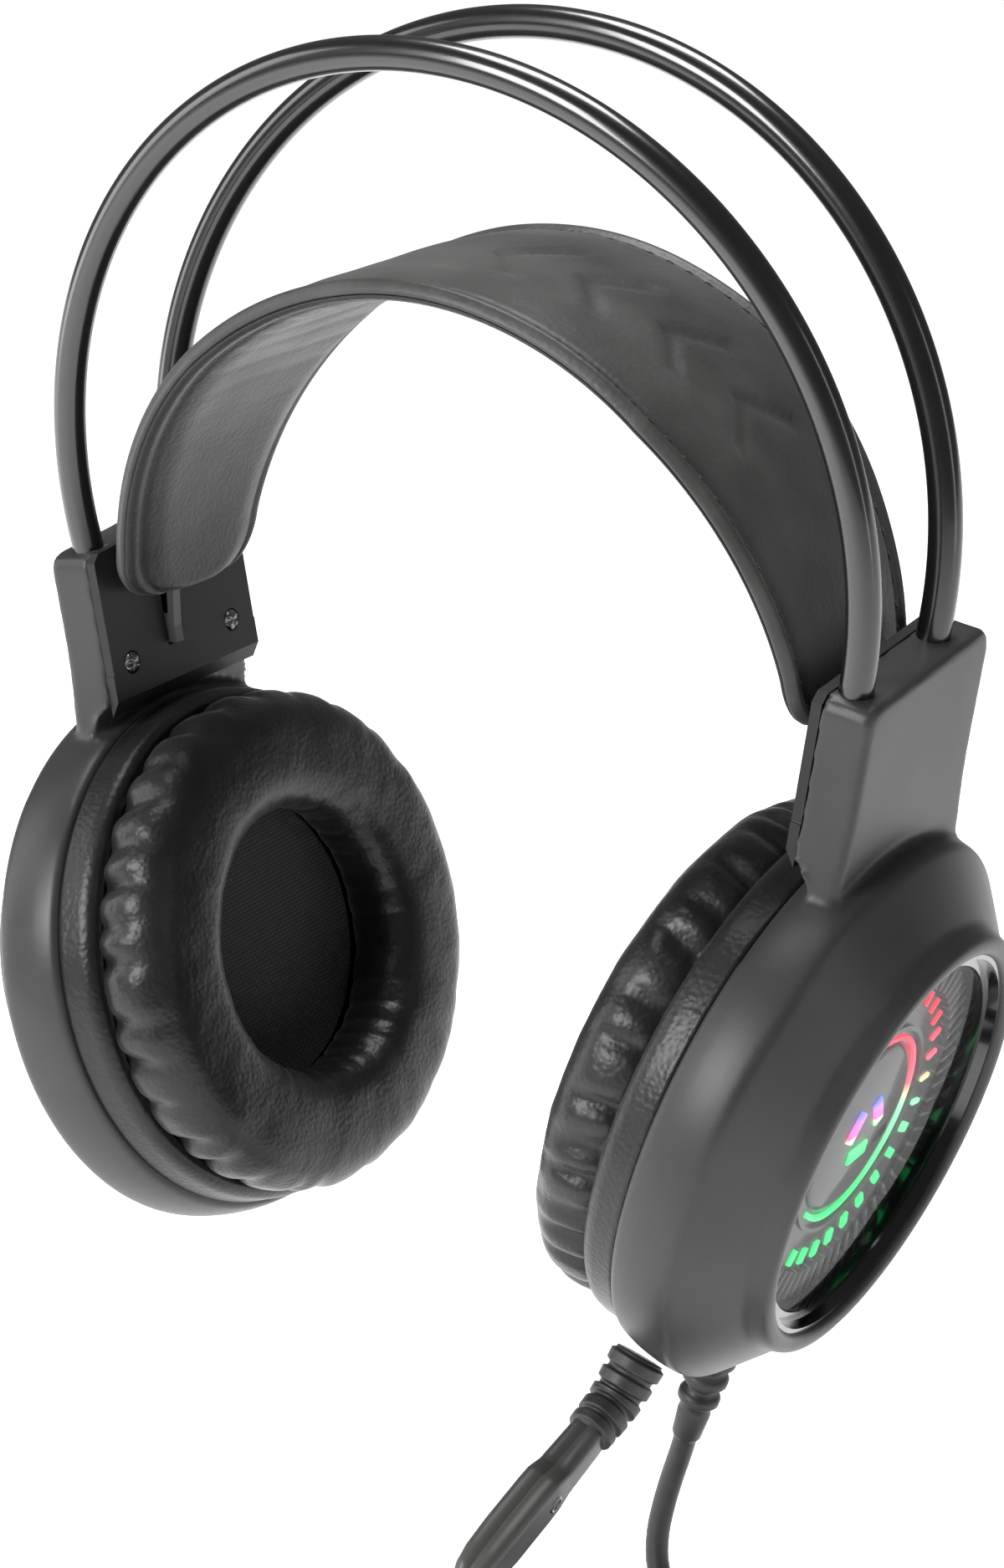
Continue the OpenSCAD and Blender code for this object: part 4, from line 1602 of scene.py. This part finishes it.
@dataclass
class Studio:
    """Camera, pale floor and soft lights."""

    turn: float = 33.5
    rise: float = 20.5
    roll: float = -0.8
    distance: float = 576.0
    look_z: float = 75.6
    right: float = 2.0
    up: float = -35.8
    focal: float = 78.53
    floor_z: float = -124.0
    floor_half: float = 2500.0
    floor_glow: float = 0.84
    sky_glow: float = 0.14

    def axes(self) -> tuple[Vector, Vector, Vector]:
        """Returns the camera's right, up and backward directions before its roll."""
        a, e = math.radians(self.turn), math.radians(self.rise)
        back = Vector((math.sin(a) * math.cos(e), -math.cos(a) * math.cos(e), math.sin(e)))
        right = Vector((math.cos(a), math.sin(a), 0))
        return right, back.cross(right), back

    def camera(self) -> None:
        """Makes the camera."""
        right, up, back = self.axes()
        place = Vector((0, 0, self.look_z)) + back * self.distance + right * self.right + up * self.up
        w = math.radians(self.roll)
        r2, u2 = math.cos(w) * right + math.sin(w) * up, math.cos(w) * up - math.sin(w) * right
        data = bpy.data.cameras.new("camera")
        data.lens, data.sensor_width, data.sensor_fit = self.focal, 36.0, "AUTO"
        data.clip_start, data.clip_end = 0.01, 20
        camera = bpy.data.objects.new("camera", data)
        turn = Matrix((r2, u2, back)).transposed().to_4x4()
        camera.matrix_world = Matrix.Translation(place * MM) @ turn
        bpy.context.scene.collection.objects.link(camera)
        bpy.context.scene.camera = camera

    def lamp(self, name: str, at: Point, size: tuple[float, float], power: float) -> None:
        """Adds one soft rectangular light aimed at the middle of the headset.

        Args:
            name: Its name.
            at: Its place, in metres.
            size: Its width and height, in metres.
            power: Its power, in watts.
        """
        data = bpy.data.lights.new(name, "AREA")
        data.shape, data.size, data.size_y, data.energy = "RECTANGLE", *size, power
        lamp = bpy.data.objects.new(name, data)
        aim = Vector((0, 0, 0.04)) - Vector(at)
        lamp.rotation_euler = aim.to_track_quat("-Z", "Y").to_euler()
        lamp.location = at
        bpy.context.scene.collection.objects.link(lamp)

    def build(self) -> None:
        """Makes the camera, floor, sky and lights."""
        self.camera()
        h, z = self.floor_half, self.floor_z - 0.05
        floor = make_object("floor", [(-h, -h, z), (h, -h, z), (h, h, z), (-h, h, z)], [(0, 1, 2, 3)])
        pale = bpy.data.materials.new("matt_white_floor")
        pale.use_nodes = True
        shader = pale.node_tree.nodes["Principled BSDF"]
        shader.inputs["Base Color"].default_value = linear("#f4f4f4")
        shader.inputs["Roughness"].default_value = 0.9
        shader.inputs["Emission Color"].default_value = (1, 1, 1, 1)
        shader.inputs["Emission Strength"].default_value = self.floor_glow
        floor.data.materials.append(pale)
        world = bpy.data.worlds.new("pale_room")
        world.use_nodes = True
        world.node_tree.nodes["Background"].inputs[0].default_value = (1, 1, 1, 1)
        world.node_tree.nodes["Background"].inputs[1].default_value = self.sky_glow
        bpy.context.scene.world = world
        bpy.context.scene.view_settings.view_transform = "Standard"
        self.lamp("key", (-0.3, -0.9, 0.55), (0.35, 0.5), 11)
        self.lamp("left_fill", (-0.9, -0.4, 0.3), (0.4, 0.9), 4)
        self.lamp("right_strip", (0.9, 0.1, 0.25), (0.08, 0.7), 0.8)
        self.lamp("top", (-0.1, 0.15, 0.9), (0.5, 0.35), 8)
        log.info("studio: camera, floor and four lights")


# ---------------------------------------------------------------- assembly


def dress_cad_nodes() -> None:
    """Gives every CAD node that stays its finish, and softens the edges of the ones that show."""
    softened = {"arm_cover": 0.35, "slider": 0.15, "usb_plug_shell": 0.1, "light_bezel": 0.1}
    for name, node in sorted(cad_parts.items()):
        base = name.removesuffix("_left").removesuffix("_right")
        if base not in NODE_FINISH or node.hide_render:
            continue
        PAINTS.dress(node, NODE_FINISH[base])
        if base in softened:
            round_edges(node, softened[base], 3)
        log.info("%s: %s", name, NODE_FINISH[base])


def main() -> None:
    """Builds the headset's looks, piece by piece."""
    logging.basicConfig(level=logging.INFO, format="%(name)s: %(message)s")
    Studio().build()
    relief = StrainRelief().build()
    tie = CordTie().build()
    grip = PlugBody().build()
    plug = [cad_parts[n] for n in ("usb_plug_shell", "usb_plug_tongue")]
    Cord().build([grip, tie, relief, *plug])
    for front in (True, False):
        BandWire().build(front)
    quality = Quality.FULL
    for side in Side:
        CupHousing().build(side)
        EarCushion(quality=quality).build(side)
        CentreMark().build(side)
    HeadStrap().build()
    MicNeck().build()
    MicBoom().build()
    ArmScrews().build()
    dress_cad_nodes()


if __name__ == "__main__":
    main()
